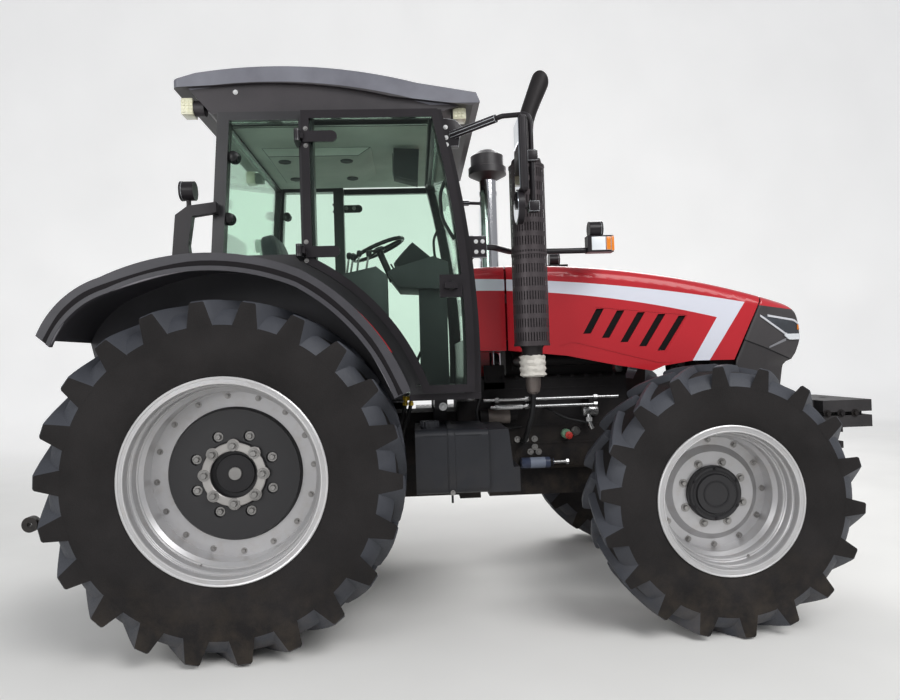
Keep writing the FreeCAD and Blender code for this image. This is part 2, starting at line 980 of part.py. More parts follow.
def front_frame():
    z_low = frame_bottom
    frame_rear = engine_front + running_gap
    rails = box((frame_rear, frame_front), (-frame_half, frame_half), (z_low, frame_top))
    hollow = box(
        (frame_rear + 60, frame_front - 60),
        (-frame_half + 45, frame_half - 45),
        (z_low - 10, frame_top - 60),
    )
    rails = rails.cut(hollow)
    pieces = [rails]
    pivot_z = front_axle_z + axle_beam_depth / 2
    for end in (1, -1):
        inner = differential_r + 8
        x_ends = sorted((wheelbase + end * inner, wheelbase + end * (inner + 46)))
        hanger = rear_plate(
            [
                (-frame_half + 5, frame_top - 65),
                (-frame_half + 5, z_low + 5),
                (-85.0, pivot_z - 20),
                (0.0, pivot_z - 82, 1),
                (85.0, pivot_z - 20),
                (frame_half - 5, z_low + 5),
                (frame_half - 5, frame_top - 65),
            ],
            x_ends[0],
            x_ends[1],
        )
        pieces.append(hanger)
    frame = joined(pieces)
    bore = rod(
        (wheelbase - differential_r - 100, 0, pivot_z), (wheelbase + differential_r + 100, 0, pivot_z), 48.2
    )
    return frame.cut(bore)


def weight_carrier():
    plate_x = (frame_front + running_gap, frame_front + running_gap + carrier_plate_thick)
    plate = box(plate_x, (-frame_half, frame_half), (carrier_bottom - 60, carrier_top))
    mid = (carrier_bottom + carrier_top) / 2
    low_rail = box((plate_x[1] - 5, carrier_front), (-carrier_half, carrier_half), (carrier_bottom, mid - 12))
    high_rail = box((plate_x[1] - 5, carrier_front), (-carrier_half, carrier_half), (mid + 12, carrier_top))
    core = box(
        (plate_x[1] - 5, carrier_front - 40), (-carrier_half + 40, carrier_half - 40), (mid - 13, mid + 13)
    )
    block = box(
        (tow_block_rear, tow_block_front), (-tow_block_half, tow_block_half), (
            tow_block_bottom, carrier_bottom + 5
        )
    )
    jaw = box(
        (tow_block_rear + 45, tow_block_front + 1),
        (-tow_block_half - 1, tow_block_half + 1),
        (tow_block_bottom + 45, tow_block_bottom + 105),
    )
    carrier = joined([plate, low_rail, high_rail, core, block])
    pin_x = (tow_block_rear + tow_block_front) / 2 + 25
    carrier = carrier.cut(jaw)
    bore = rod((pin_x, 0, tow_block_bottom - 5), (pin_x, 0, tow_block_bottom + 50), tow_pin_r)
    return carrier.cut(bore)


def radiator():
    """Core with its fan shroud, its foot on the frame and the rest that the hood closes onto."""
    base = frame_top + running_gap
    core = box((radiator_rear, radiator_front), (-radiator_half, radiator_half), (base + 30, radiator_top))
    foot = box(
        (radiator_rear + 20, radiator_front - 20), (-frame_half, frame_half), (base, base + 40)
    )
    rest_top = hood_top_at(radiator_rear + 60) - hood_sheet - running_gap
    rest = box(
        (radiator_rear + 20, radiator_rear + 60), (-60, 60), (radiator_top - 10, rest_top)
    )
    shroud_r = fan_r + shroud_gap
    start = (radiator_rear - shroud_depth, 0, fan_z)
    end = (radiator_rear + 1, 0, fan_z)
    shroud = rod(start, end, shroud_r + shroud_thick).cut(rod(start, end, shroud_r))
    return joined([core, foot, rest, shroud])


# Cab

def front_pillar_curve(inset_foot, inset_head, z_low, z_high):
    """Points of the front pillar's leading curve, moved back by an inset at foot and head."""
    inset_mid = (inset_foot + inset_head) / 2
    circle = arc_through([
        (front_pillar_foot - inset_foot, floor_top),
        (front_pillar_mid - inset_mid, (floor_top + cab_top) / 2 - 90),
        (front_pillar_head - inset_head, cab_top),
    ])
    return [(arc_reach(circle, z), z) for z in (z_low, (z_low + z_high) / 2, z_high)]


def curved_strip(front_inset, thick, z_low, z_high, y_low, y_high):
    """Sheet that follows the windshield's curve."""
    front = front_pillar_curve(front_inset, front_inset, z_low, z_high)
    back = front_pillar_curve(front_inset + thick, front_inset + thick, z_low, z_high)
    points = [front[0], front[1] + (1,), front[2], back[2], back[1] + (1,), back[0]]
    return side_plate(points, y_low, y_high)


def cab_front_frame():
    top = cab_top - running_gap
    front = front_pillar_curve(0, 0, floor_top + running_gap, top)
    back = front_pillar_curve(front_pillar_foot_width, front_pillar_head_width, floor_top + running_gap, top)
    outline = [front[0], front[1] + (1,), front[2], back[2], back[1] + (1,), back[0]]
    pillar = side_plate(outline, cab_half - side_frame_thick, cab_half)
    inner = cab_half - side_frame_thick + 5
    wall = curved_strip(20, firewall_thick, floor_top + running_gap, windshield_bottom, -inner, inner)
    header = curved_strip(12, 50, cab_top - window_rail, top, -inner, inner)
    return joined([pillar, mirrored(pillar), wall, header])


def windshield():
    inner = cab_half - side_frame_thick
    return curved_strip(
        32, glass_thick, windshield_bottom + pin_play, cab_top - window_rail - pin_play,
        -inner + pin_play, inner - pin_play
    )


def lean_rear(shape):
    """Leans a rear wall piece like the rear pillars."""
    rise = cab_top - fender_path[3][1]
    lean = math.degrees(math.atan2(pillar_c_top_rear - pillar_c_foot_rear, rise))
    shape.rotate(Vector(pillar_c_foot_rear, 0, fender_path[3][1]), Vector(0, 1, 0), lean)
    return shape


def rear_wall_outline(inset):
    """Outline of y and z of the rear wall, wide above the fenders and narrow between them."""
    wide = cab_half - side_frame_thick - running_gap - inset
    narrow = fender_inner - 3 - inset
    step = fender_path[3][1] + 12 + inset
    foot = floor_top + 4
    top = cab_top - 4
    if inset:
        foot = rear_window_sill
        top = cab_top - window_rail
    return [
        (-wide, top), (-wide, step), (-narrow, step), (-narrow, foot),
        (narrow, foot), (narrow, step), (wide, step), (wide, top),
    ]


def cab_rear_frame():
    x = pillar_c_foot_rear
    plate = rear_plate(rear_wall_outline(0), x, x + rear_frame_thick)
    window = rear_plate(rear_wall_outline(window_rail), x - 10, x + rear_frame_thick + 10)
    return lean_rear(plate.cut(window))


def rear_window():
    x = pillar_c_foot_rear + rear_frame_thick / 2
    return lean_rear(rear_plate(rear_wall_outline(window_rail + pin_play), x, x + glass_thick))


def cab_side():
    """Rear side frame, the rail that follows the fender and the sill, outside the floor."""
    inner = cab_half - side_frame_thick
    top = cab_top - running_gap
    seat = 0.5
    c_foot_z = fender_top_at(pillar_c_foot_rear, seat)
    b_foot_z = fender_top_at(pillar_b_front, seat)
    mid_x = 170.0
    outline = [
        (pillar_c_top_rear, top),
        (pillar_c_foot_rear, c_foot_z),
        (mid_x, fender_top_at(mid_x, seat), 1),
        (pillar_b_front, b_foot_z),
        (pillar_b_front, top),
    ]
    frame = side_plate(outline, inner, cab_half)
    frame = frame.cut(fender_band(-300, seat, inner - 10, cab_half + 10))
    glass_low = fender_path[3][1] + window_rail
    window = side_plate(quarter_outline(0, glass_low), inner - 10, cab_half + 10)
    frame = frame.cut(window)
    rail = fender_band(seat, door_rail_width, inner, cab_half)
    front_part = box(
        (pillar_b_rear + 10, front_pillar_foot), (inner - 10, cab_half + 10), (floor_top, cab_top)
    )
    rail = rail.common(front_part)
    sill = box(
        (fender_path[0][0] + 8, front_pillar_foot - front_pillar_foot_width - 1),
        (inner, cab_half),
        (floor_top + running_gap, floor_top + sill_height),
    )
    pieces = [frame, rail, sill]
    for z in (door_hinge_low_z, door_hinge_high_z):
        pieces += hinge_ears(z)
    return joined(pieces)


def quarter_outline(inset, glass_low):
    lean = (pillar_c_top_rear - pillar_c_foot_rear) / (cab_top - fender_path[3][1])
    head = cab_top - window_rail - inset
    foot = glass_low + inset
    rear_foot = pillar_c_foot_rear + pillar_c_width + inset + lean * (foot - fender_path[3][1])
    rear_head = pillar_c_foot_rear + pillar_c_width + inset + lean * (head - fender_path[3][1])
    front_x = pillar_b_rear - inset
    return [(rear_head, head), (rear_foot, foot), (front_x, foot), (front_x, head)]


def quarter_window():
    y = cab_half - side_frame_thick / 2
    glass_low = fender_path[3][1] + window_rail
    return side_plate(quarter_outline(pin_play, glass_low), y, y + glass_thick)


def cab_floor():
    """Platform between the fenders, its wider front part and the mounts under it."""
    gap = running_gap
    narrow = fender_inner - gap
    middle = box(
        (pillar_c_foot_rear, fender_path[0][0] + 5), (-narrow, narrow), (floor_top - floor_thick, floor_top)
    )
    front = box(
        (fender_path[0][0] + 4, front_pillar_foot), (-cab_half, cab_half), (
            floor_top - floor_thick, floor_top
        )
    )
    pieces = [middle, front]
    for side in (1, -1):
        y_ends = sorted((side * gearbox_half, side * 640))
        cross = box((1050, 1120), y_ends, (floor_top - floor_thick - 60, floor_top - floor_thick + 5))
        leg = box(
            (1050, 1130),
            sorted((side * (gearbox_half + gap), side * (gearbox_half + 60))),
            (gearbox_top - 60, floor_top - floor_thick + 5),
        )
        pieces += [cross, leg]
    rear_block = box((-60, 60), (-160, 160), (rear_case_top + gap, floor_top - floor_thick + 5))
    pieces.append(rear_block)
    return joined(pieces)


def roof():
    """Cap over a narrower fascia, with a round lamp under each corner."""
    lip = roof_lip
    middle = (roof_rear + roof_front) / 2 - 166
    cap = side_plate(
        [
            (roof_rear, lip),
            (roof_rear, lip + 40),
            (roof_rear + 120, roof_peak - 30),
            (middle, roof_peak, 1),
            (roof_front - 340, roof_peak - 95),
            (roof_front - 20, lip - 45),
            (roof_front, lip - 95),
            (roof_front - 40, lip - 115),
            (roof_front - 480, lip - 60),
            (middle, lip + 15, 1),
            (roof_rear + 248, lip + 10),
        ],
        -roof_half,
        roof_half,
    )
    upright = [e for e in cap.Edges if e.BoundBox.YLength < 1 and e.BoundBox.XLength < 1]
    cap = cap.makeFillet(min(roof_corner_r, 0.8 * 40), upright)
    inset = 26.0
    fascia = side_plate(
        [
            (roof_rear + 60, lip + 20),
            (roof_rear + 193, cab_top),
            (roof_front - 200, cab_top),
            (roof_front - 60, lip - 90),
            (roof_front - 440, lip - 30),
            (middle, lip + 30, 1),
            (roof_rear + 248, lip + 20),
        ],
        -roof_half + inset,
        roof_half - inset,
    )
    lamps = []
    for y in (-roof_half + 100, roof_half - 100):
        for x in (roof_front - 150, roof_rear + 80):
            z = cab_top + 10 if x > 0 else lip - 80
            lamps.append(rod((x, y, z), (x + roof_lamp_length, y, z), roof_lamp_r))
    return joined([cap, fascia] + lamps)


# Doors

def door_outline(inset):
    """Outline of x and z of the door, drawn in by an inset on every side."""
    low = door_foot + inset
    high = door_head - inset
    front = front_pillar_curve(38 + inset, 24 + inset, low, high)
    arch = arc_through([beyond(p, door_edge_gap + inset) for p in fender_path[:3]])
    rear = door_rear_edge + inset
    foot_x = arc_reach(arch, low)
    rear_z = arc_height(arch, rear)
    middle_x = (rear + foot_x) / 2
    middle = (middle_x, arc_height(arch, middle_x))
    return [
        (rear, high), (rear, rear_z), middle + (1,), (foot_x, low),
        front[0], front[1] + (1,), front[2],
    ]


def hinge_place(shape, z):
    """Moves a hinge piece, drawn about the Z axis, to its height on the leaning hinge line."""
    inward = math.tan(math.radians(door_hinge_lean)) * (z - door_hinge_low_z)
    shape.rotate(Vector(0, 0, 0), Vector(1, 0, 0), door_hinge_lean)
    shape.translate(Vector(door_hinge_x, door_hinge_y - inward, z))
    return shape


def hinge_ears(z):
    """Pin and two ears on the rear side pillar."""
    inward = math.tan(math.radians(door_hinge_lean)) * (z - door_hinge_low_z)
    back = -(door_hinge_y - inward - cab_half) - 20
    pin_half = hinge_barrel_half + hinge_ear_thick
    pieces = [Part.makeCylinder(hinge_pin_r, 2 * pin_half, Vector(0, 0, -pin_half))]
    for end in (1, -1):
        z_ends = sorted((end * (hinge_barrel_half + running_gap), end * pin_half))
        ear = box((-hinge_barrel_r, hinge_barrel_r), (back, 0), z_ends)
        pieces.append(ear)
        pieces.append(Part.makeCylinder(hinge_barrel_r, z_ends[1] - z_ends[0], Vector(0, 0, z_ends[0])))
    return [hinge_place(piece, z) for piece in pieces]


def door():
    inner = cab_half + door_gap
    outer = inner + door_thick
    frame = side_plate(door_outline(0), inner, outer)
    frame = frame.cut(side_plate(door_outline(door_frame_width), inner - 5, outer + 5))
    pieces = [frame]
    for z in (door_hinge_low_z, door_hinge_high_z):
        inward = math.tan(math.radians(door_hinge_lean)) * (z - door_hinge_low_z)
        barrel = Part.makeCylinder(
            hinge_barrel_r, 2 * hinge_barrel_half, Vector(0, 0, -hinge_barrel_half)
        )
        pieces.append(hinge_place(barrel, z))
        half = hinge_arm_height / 2
        arm = box((0, 30), (outer - (door_hinge_y - inward) - 2, 0), (-half, half))
        pieces.append(hinge_place(arm, z))
        pieces.append(hinge_strap(z, outer))
    half = door_handle_length / 2
    pieces.append(box(
        (door_handle_x - half, door_handle_x + half), (outer - 1, outer + 34),
        (door_handle_z - 16, door_handle_z + 16)
    ))
    half = door_lock_half
    pieces.append(box(
        (door_handle_x - half, door_handle_x + half), (inner, outer), (
            door_handle_z - half, door_handle_z + half
        )
    ))
    whole = joined(pieces)
    for z in (door_hinge_low_z, door_hinge_high_z):
        bore_half = hinge_barrel_half + 2
        bore = Part.makeCylinder(hinge_pin_r + pin_play, 2 * bore_half, Vector(0, 0, -bore_half))
        whole = whole.cut(hinge_place(bore, z))
    return whole


def hinge_strap(z, outer):
    """Flat bar across the door, rounded at its front end."""
    rear = door_hinge_x + 26
    front = door_hinge_x + hinge_strap_length
    half = hinge_strap_height / 2
    return side_plate(
        [
            (rear, z - half),
            (front - half, z - half),
            (front, z, 1),
            (front - half, z + half),
            (rear, z + half),
        ],
        outer - 1,
        outer + hinge_strap_thick,
    )


def door_glass():
    middle = cab_half + door_gap + door_thick / 2
    pane = side_plate(door_outline(door_frame_width + pin_play), middle, middle + glass_thick)
    half = door_lock_half + 1
    lock = box(
        (door_handle_x - half, door_handle_x + half),
        (middle - 1, middle + glass_thick + 1),
        (door_handle_z - half, door_handle_z + half),
    )
    return pane.cut(lock)


# Fender

def fender():
    """Arched top, inner wall beside the cab floor and a deep outer lip with a rolled rib."""
    top = fender_band(-fender_sheet, 0, fender_inner, fender_outer)
    lip = fender_band(-fender_lip_depth, fender_lip_rise, fender_outer - fender_lip_thick, fender_outer)
    rib = fender_band(
        -fender_lip_depth, fender_rib_height - fender_lip_depth,
        fender_outer - fender_lip_thick, fender_outer + fender_rib_proud
    )
    behind = fender_line(-fender_sheet + 1)
    wall_foot = floor_top - floor_thick
    wall = side_plate(
        behind + [(behind[-1][0] + 60, behind[-1][1] - 260), (behind[-1][0] + 300, wall_foot)]
        + [(behind[0][0], wall_foot)],
        fender_inner,
        fender_inner + fender_wall_thick,
    )
    arch = rod((0, fender_inner - 10, rear_axle_z), (0, fender_inner + 100, rear_axle_z), 60)
    return joined([top, lip, rib, wall]).cut(arch)


# Hood

hood_crown = [
    (cowl_rear, hood_rear_height),
    ((cowl_rear + nose_seam_top) / 2, (hood_rear_height + hood_front_height) / 2 + hood_crown_rise),
    (nose_seam_top, hood_front_height),
]

hood_foot = [
    # share of the way from the hood's rear to the nose seam, drop below the rear foot
    (0.81, 94.0),
    (0.684, 119.0),
    (0.634, 147.0),
    (0.461, 103.0),
    (0.258, 41.0),
]

crease_line = [
    # the same share, height above the hood's foot there
    (0.225, 47.0),
    (0.277, 76.0),
    (0.299, 80.0),
    (0.66, 24.0),
    (0.72, 2.0),
]


def hood_top_at(x):
    return arc_height(arc_through(hood_crown), x)


def hood_side_x(share):
    return hood_rear + share * (nose_seam_foot - hood_rear)


def hood_foot_at(share):
    """Height of the hood's lower edge at a share of its length."""
    line = [(0.0, 0.0)] + hood_foot[::-1] + [(1.0, hood_seam_fall)]
    for (start, start_drop), (end, end_drop) in zip(line, line[1:]):
        if start <= share <= end:
            return hood_foot_height - start_drop - (end_drop - start_drop) * (share - start) / (end - start)


def hood_outline(x_low, drop):
    """Outline of x and z of the hood's side, with its top dropped by the sheet."""
    mid = (x_low + nose_seam_top) / 2
    points = [
        (x_low, hood_top_at(x_low) - drop),
        (mid, hood_top_at(mid) - drop, 1),
        (nose_seam_top, hood_top_at(nose_seam_top) - drop),
        (nose_seam_foot, hood_foot_at(1.0)),
    ]
    points += [(hood_side_x(share), hood_foot_height - fall) for share, fall in hood_foot]
    return points + [(x_low, hood_foot_height)]


def rounded_top(shape):
    """Rounds the two long upper edges."""
    edges = []
    for edge in shape.Edges:
        bounds = edge.BoundBox
        if bounds.YLength < 0.1 and bounds.XLength > 100 and bounds.ZMin > hood_foot_height + 165:
            edges.append(edge)
    return shape.makeFillet(hood_edge_r, edges)


def both_sides(points, y_low, y_high):
    """The same plate on the left and on the right."""
    plate = side_plate(points, y_low, y_high)
    return [plate, mirrored(plate)]


def hood_side_panel():
    """Shallow panel round the vents, measured back from the nose seam's foot."""
    x = nose_seam_foot
    z = hood_front_height
    return [(x - 844, z - 45), (x - 278, z - 108), (x - 427, z - 339), (x - 984, z - 196)]


def hood_vents():
    """Slanted slots through the hood's sides, stepped evenly from the first to the last."""
    x = nose_seam_foot
    z = hood_front_height
    heads = ((x - 809, z - 55), (x - 309, z - 111))
    feet = ((x - 894, z - 203), (x - 446, z - 317))
    slots = []
    for index in range(vent_count):
        share = index / (vent_count - 1)
        head = [a + share * (b - a) for a, b in zip(*heads)]
        foot = [a + share * (b - a) for a, b in zip(*feet)]
        half = vent_width / 2
        outline = [
            (head[0] - half, head[1]), (head[0] + half, head[1]), (foot[0] + half, foot[1]), (
                foot[0] - half, foot[1]
            )
        ]
        slots += both_sides(outline, hood_half - hood_sheet - 1, hood_half + 1)
    return slots


def hood_crease():
    """Groove above the hood's lower edge."""
    line = [(hood_side_x(share), hood_foot_at(share) + rise) for share, rise in crease_line]
    upper = [(x, z + crease_height) for x, z in reversed(line)]
    return both_sides(line + upper, hood_half - panel_depth, hood_half + 1)


def hood():
    outer = rounded_top(side_plate(hood_outline(hood_rear, 0), -hood_half, hood_half))
    skin = hood_sheet
    inside_points = hood_outline(hood_rear - 30, skin)
    inside_points[2] = (nose_seam_top + 30, hood_top_at(nose_seam_top) - skin)
    inside_points[3] = (nose_seam_foot + 30, 1200.0)
    inside_points[4:] = [(hood_rear - 30, 1200.0)]
    inside = side_plate(inside_points, -hood_half + skin, hood_half - skin)
    inner_r = hood_edge_r - skin
    edges = []
    for edge in inside.Edges:
        bounds = edge.BoundBox
        if bounds.YLength < 0.1 and bounds.XLength > 500 and bounds.ZMin > hood_foot_height + 165:
            edges.append(edge)
    inside = inside.makeFillet(inner_r, edges)
    panels = both_sides(hood_side_panel(), hood_half - panel_depth, hood_half + 1)
    shell = outer.cut([inside] + panels + hood_vents() + hood_crease())
    pivot_x = hood_rear + hood_pivot_inset
    pivot_z = hood_top_at(hood_rear) - hood_pivot_drop
    knuckle_r_hood = hood_pivot_drop
    for side in (1, -1):
        y = side * hood_hinge_y
        notch = box(
            (hood_rear - 1, pivot_x + knuckle_r_hood + 4),
            (y - hood_hinge_half - hood_ear - 5, y + hood_hinge_half + hood_ear + 5),
            (pivot_z - 40, pivot_z + 40),
        )
        shell = shell.cut(notch)
        barrel = rod(
            (pivot_x, y - hood_hinge_half, pivot_z), (pivot_x, y + hood_hinge_half, pivot_z), knuckle_r_hood
        )
        leaf = box(
            (pivot_x, pivot_x + 60),
            (y - hood_hinge_half, y + hood_hinge_half),
            (pivot_z - knuckle_r_hood, pivot_z),
        )
        shell = shell.fuse([barrel, leaf])
        bore = rod(
            (pivot_x, y - hood_hinge_half - 2, pivot_z), (pivot_x, y + hood_hinge_half + 2, pivot_z),
            hood_pin_r + pin_play,
        )
        shell = shell.cut(bore)
    return shell.removeSplitter()


def cowl():
    """Fixed rear part of the hood, with the ears of the hood's hinge."""
    front = hood_rear - hood_seam
    mid = (cowl_rear + front) / 2
    outline = [
        (cowl_rear, hood_top_at(cowl_rear)),
        (mid, hood_top_at(mid), 1),
        (front, hood_top_at(front)),
        (front, hood_foot_height),
        (cowl_rear, hood_foot_height + 5),
    ]
    body = rounded_top(side_plate(outline, -hood_half, hood_half))
    pivot_x = hood_rear + hood_pivot_inset
    pivot_z = hood_top_at(hood_rear) - hood_pivot_drop
    pieces = [body]
    for side in (1, -1):
        foot_y = sorted((side * 60, side * 120))
        pieces.append(box(
            (cowl_rear + 60, cowl_rear + 120), foot_y, (engine_top + running_gap, hood_foot_height + 15)
        ))
        y = side * hood_hinge_y
        pin_half = hood_hinge_half + hood_ear
        pieces.append(rod((pivot_x, y - pin_half, pivot_z), (pivot_x, y + pin_half, pivot_z), hood_pin_r))
        for end in (1, -1):
            y_ends = sorted((y + end * (hood_hinge_half + running_gap), y + end * pin_half))
            pieces.append(box(
                (front - 2, pivot_x + hood_pivot_drop - 2), y_ends, (
                    pivot_z - hood_pivot_drop, pivot_z + hood_pin_r
                )
            ))
    return joined(pieces)


def nose_body(inset, gap):
    """Rounded front end, as a block cut by a sloping plan outline."""
    half = hood_half - inset
    tip = nose_tip - inset
    rear_foot = nose_seam_foot + gap
    rear_head = nose_seam_top + gap
    top = hood_front_height
    side = [
        (rear_head, hood_top_at(nose_seam_top) - inset),
        (rear_head + 150, top - 32 - inset),
        (tip - 46, top - 74 - inset),
        (tip - 10, top - 135),
        (tip, top - 262),
        (tip - 32, top - 325),
        (tip - 100, top - 365),
        (tip - 158, nose_low),
        (rear_foot, nose_low),
    ]
    if inset:
        side[-1] = (rear_foot - 60, nose_low - 120)
        side[-2] = (tip - 158, nose_low - 120)
        side[0] = (rear_head - 60, hood_top_at(nose_seam_top) - inset)
    body = side_plate(side, -half, half)
    return body.common(nose_plan(half, tip, nose_low - 200, top + 200))


def nose_plan(half, tip, z_low, z_high):
    """Block with the nose's rounded outline as seen from above."""
    points = [
        (nose_seam_foot - 200, -half),
        (nose_seam_top, -half),
        (tip - nose_side_taper, -half + 60),
        (tip, 0.0, 1),
        (tip - nose_side_taper, half - 60),
        (nose_seam_top, half),
        (nose_seam_foot - 200, half),
    ]
    face = Part.Face(wire(points, lambda p: Vector(p[0], p[1], z_low)))
    return face.extrude(Vector(0, 0, z_high - z_low))


def nose_skirt():
    """Open lower part of the nose, in front of the radiator, with its grille slots."""
    back = nose_seam_foot + 15
    front = nose_seam_foot + skirt_length
    side = 60.0

    def plan(inset, rear):
        outline = [
            (rear, -skirt_half + inset),
            (front - side, -skirt_half + inset),
            (front - inset, -skirt_half + side + inset),
            (front - inset, skirt_half - side - inset),
            (front - side, skirt_half - inset),
            (rear, skirt_half - inset),
        ]
        face = Part.Face(wire(outline, lambda p: Vector(p[0], p[1], skirt_low)))
        return face.extrude(Vector(0, 0, nose_low + 8 - skirt_low))

    skirt = plan(0, back).cut(plan(hood_sheet, back - 10))
    return skirt.cut(grille_slots(front - 40, front + 20, skirt_low + 30))


def grille_slots(x_low, x_high, z_low):
    """Level slots across the front, one above the other."""
    slots = []
    for index in range(grille_count):
        z = z_low + index * grille_pitch
        slots.append(box((x_low, x_high), (-grille_half, grille_half), (z, z + grille_slot)))
    return slots


def nose_groove():
    """Line along the nose's side from the seam down to its chin."""
    line = [(nose_seam_foot + 68, nose_low + 128.0), (nose_seam_foot + 358, nose_low + 6.0)]
    return both_sides(
        line + [(x, z + crease_height) for x, z in reversed(line)],
        hood_half - panel_depth - 60,
        hood_half + 1
    )


def nose():
    """Charcoal front end, hollow and open behind, with the headlamps' arrow-shaped openings."""
    solid = nose_body(0, 1.0)
    shell = solid.cut(nose_body(hood_sheet, 1.0))
    rim = nose_body(panel_depth, 1.0)
    shell = shell.cut([groove.cut(rim) for groove in nose_groove()])
    shell = shell.cut([headlamp_block(side, 0) for side in (1, -1)])
    shell = shell.cut(grille_slots(nose_tip - 80, nose_tip + 20, hood_front_height - 290))
    return joined([shell, nose_skirt()])


def headlamp_block(side, inset):
    """Space of one headlamp: an arrow along the nose's side that widens round its corner."""
    tip = nose_tip
    top = hood_front_height
    outline = [
        (tip - 350 + 4 * inset, top - 126.0 - inset),
        (tip - 112, top - 155.0 - inset),
        (tip + 20, top - 196.0 - inset),
        (tip + 20, top - 256.0 + inset),
        (tip - 174, top - 242.0 + inset),
    ]
    y_ends = sorted((side * (headlamp_inner + inset), side * (hood_half + 20)))
    return side_plate(outline, y_ends[0], y_ends[1])


def headlamp(side):
    """Lens with the nose's curve, set a hair below its skin and filling the opening."""
    lens = nose_body(2, 1.0).common(headlamp_block(side, pin_play))
    return lens


# Exhaust and intake

def exhaust():
    """Muffler with its slotted guard, the stack above it and the wrapped pipe below."""
    x = muffler_x
    y = -muffler_y
    can = spun(
        [
            (0.0, wrap_tip),
            (wrap_tip_r, wrap_tip),
            (wrap_r, wrap_low),
            (wrap_r + 6, (wrap_low + muffler_low) / 2),
            (wrap_r, muffler_low - 20),
            (muffler_r, muffler_low + muffler_cone),
            (muffler_r, muffler_high - muffler_cone),
            (exhaust_pipe_r + 10, muffler_high),
            (0.0, muffler_high),
        ],
        x,
        y,
    )
    stack = tube_path(
        [(x, y, muffler_high - 20), (x, y, exhaust_bend_z), (exhaust_tip_x, y, exhaust_tip_z)],
        exhaust_pipe_r,
        90.0,
    )
    down = rod((x, y, manifold_z), (x, -manifold_reach - running_gap, manifold_z), downpipe_r)
    return joined([can, stack, down, muffler_guard()])


def muffler_guard():
    """Half sleeve on three bands round the muffler, with rows of upright slots."""
    x = muffler_x
    y = -muffler_y
    low = muffler_low + muffler_cone + shield_margin
    high = muffler_high - muffler_cone - shield_margin
    inner = muffler_r + shield_gap
    outer = inner + shield_thick
    sleeve = rod((x, y, low), (x, y, high), outer).cut(rod((x, y, low), (x, y, high), inner))
    half = box((x - outer, x + outer), (y - outer, y + 10), (low, high))
    sleeve = sleeve.common(half)
    pitch = (high - low - 30) / shield_rows
    slots = []
    for row in range(shield_rows):
        foot = low + 15 + row * pitch
        for column in range(shield_columns):
            slot = box(
                (x + inner - 10, x + outer + 10),
                (y - shield_slot_width / 2, y + shield_slot_width / 2),
                (foot, foot + pitch * shield_slot_share),
            )
            turn = -150.0 + 120.0 * column / (shield_columns - 1)
            slot.rotate(Vector(x, y, 0), Vector(0, 0, 1), turn)
            slots.append(slot)
    sleeve = sleeve.cut(slots)
    bands = []
    for z in (low + 4, (low + high) / 2 - 5, high - 14):
        bands.append(rod((x, y, z), (x, y, z + 10), inner + 1))
    return joined([sleeve] + bands)


def air_intake():
    """Polished pipe with collars, under a round pre-cleaner."""
    x = intake_x
    y = intake_y
    foot = intake_foot_z - 100
    pipe = tube_path(
        [(x, engine_half + running_gap, foot), (x, y, foot), (x, y, intake_head_z)],
        intake_r,
        90.0,
    )
    collars = []
    for z in (intake_foot_z + 120, intake_foot_z + 620, intake_head_z - 170):
        collars.append(rod((x, y, z), (x, y, z + 26), intake_collar_r))
    cap = spun(
        [
            (0.0, intake_head_z - 60),
            (intake_r, intake_head_z - 60),
            (precleaner_rim_r, intake_head_z - 20),
            (precleaner_rim_r, intake_head_z + 30),
            (precleaner_r, intake_head_z + 36),
            (precleaner_r, precleaner_top - 40),
            (precleaner_r - precleaner_cone, precleaner_top),
            (0.0, precleaner_top),
        ],
        x,
        y,
    )
    return joined([pipe, cap] + collars)


# Tank, steps and rear equipment

def fuel_tank():
    """Moulded tank under its strap, with the stepped box ahead of it."""
    main = box((tank_rear, tank_front), (-tank_outer, -tank_inner), (tank_low, tank_high))
    long_edges = [e for e in main.Edges if e.BoundBox.XLength > 100]
    main = main.makeFillet(tank_corner_r, long_edges)
    proud = tank_strap_thick
    strap = box(
        (tank_strap_x, tank_strap_x + tank_strap_width),
        (-tank_outer - proud, -tank_inner + proud),
        (tank_low - proud, tank_high + proud),
    )
    strap = strap.makeFillet(tank_corner_r + proud, [e for e in strap.Edges if e.BoundBox.XLength > 10])
    bolt_x = tank_strap_x + tank_strap_width / 2
    bolt = rod((bolt_x, -tank_outer + 60, tank_low - 55), (bolt_x, -tank_outer + 60, tank_low), 6)
    case = side_plate(
        [
            (tank_front - 5, tank_low),
            (tank_front - 5, tank_high - 8),
            (tank_box_front - tank_box_step - tank_box_slope, tank_high - 8),
            (tank_box_front - tank_box_step, tank_box_split),
            (tank_box_front, tank_box_split),
            (tank_box_front, tank_low),
        ],
        -tank_outer + 20,
        -tank_inner - 60,
    )
    cap_y = -tank_outer + 150
    cap = rod((tank_rear + 80, cap_y, tank_high - 5), (tank_rear + 80, cap_y, tank_high + 38), tank_cap_r)
    arms = []
    for x in (tank_rear + 70, tank_front - 190):
        arms.append(box(
            (x, x + 50), (-tank_inner - 20, -gearbox_half - running_gap), (tank_low + 60, tank_low + 160)
        ))
    return joined([main, strap, bolt, case, cap] + arms)


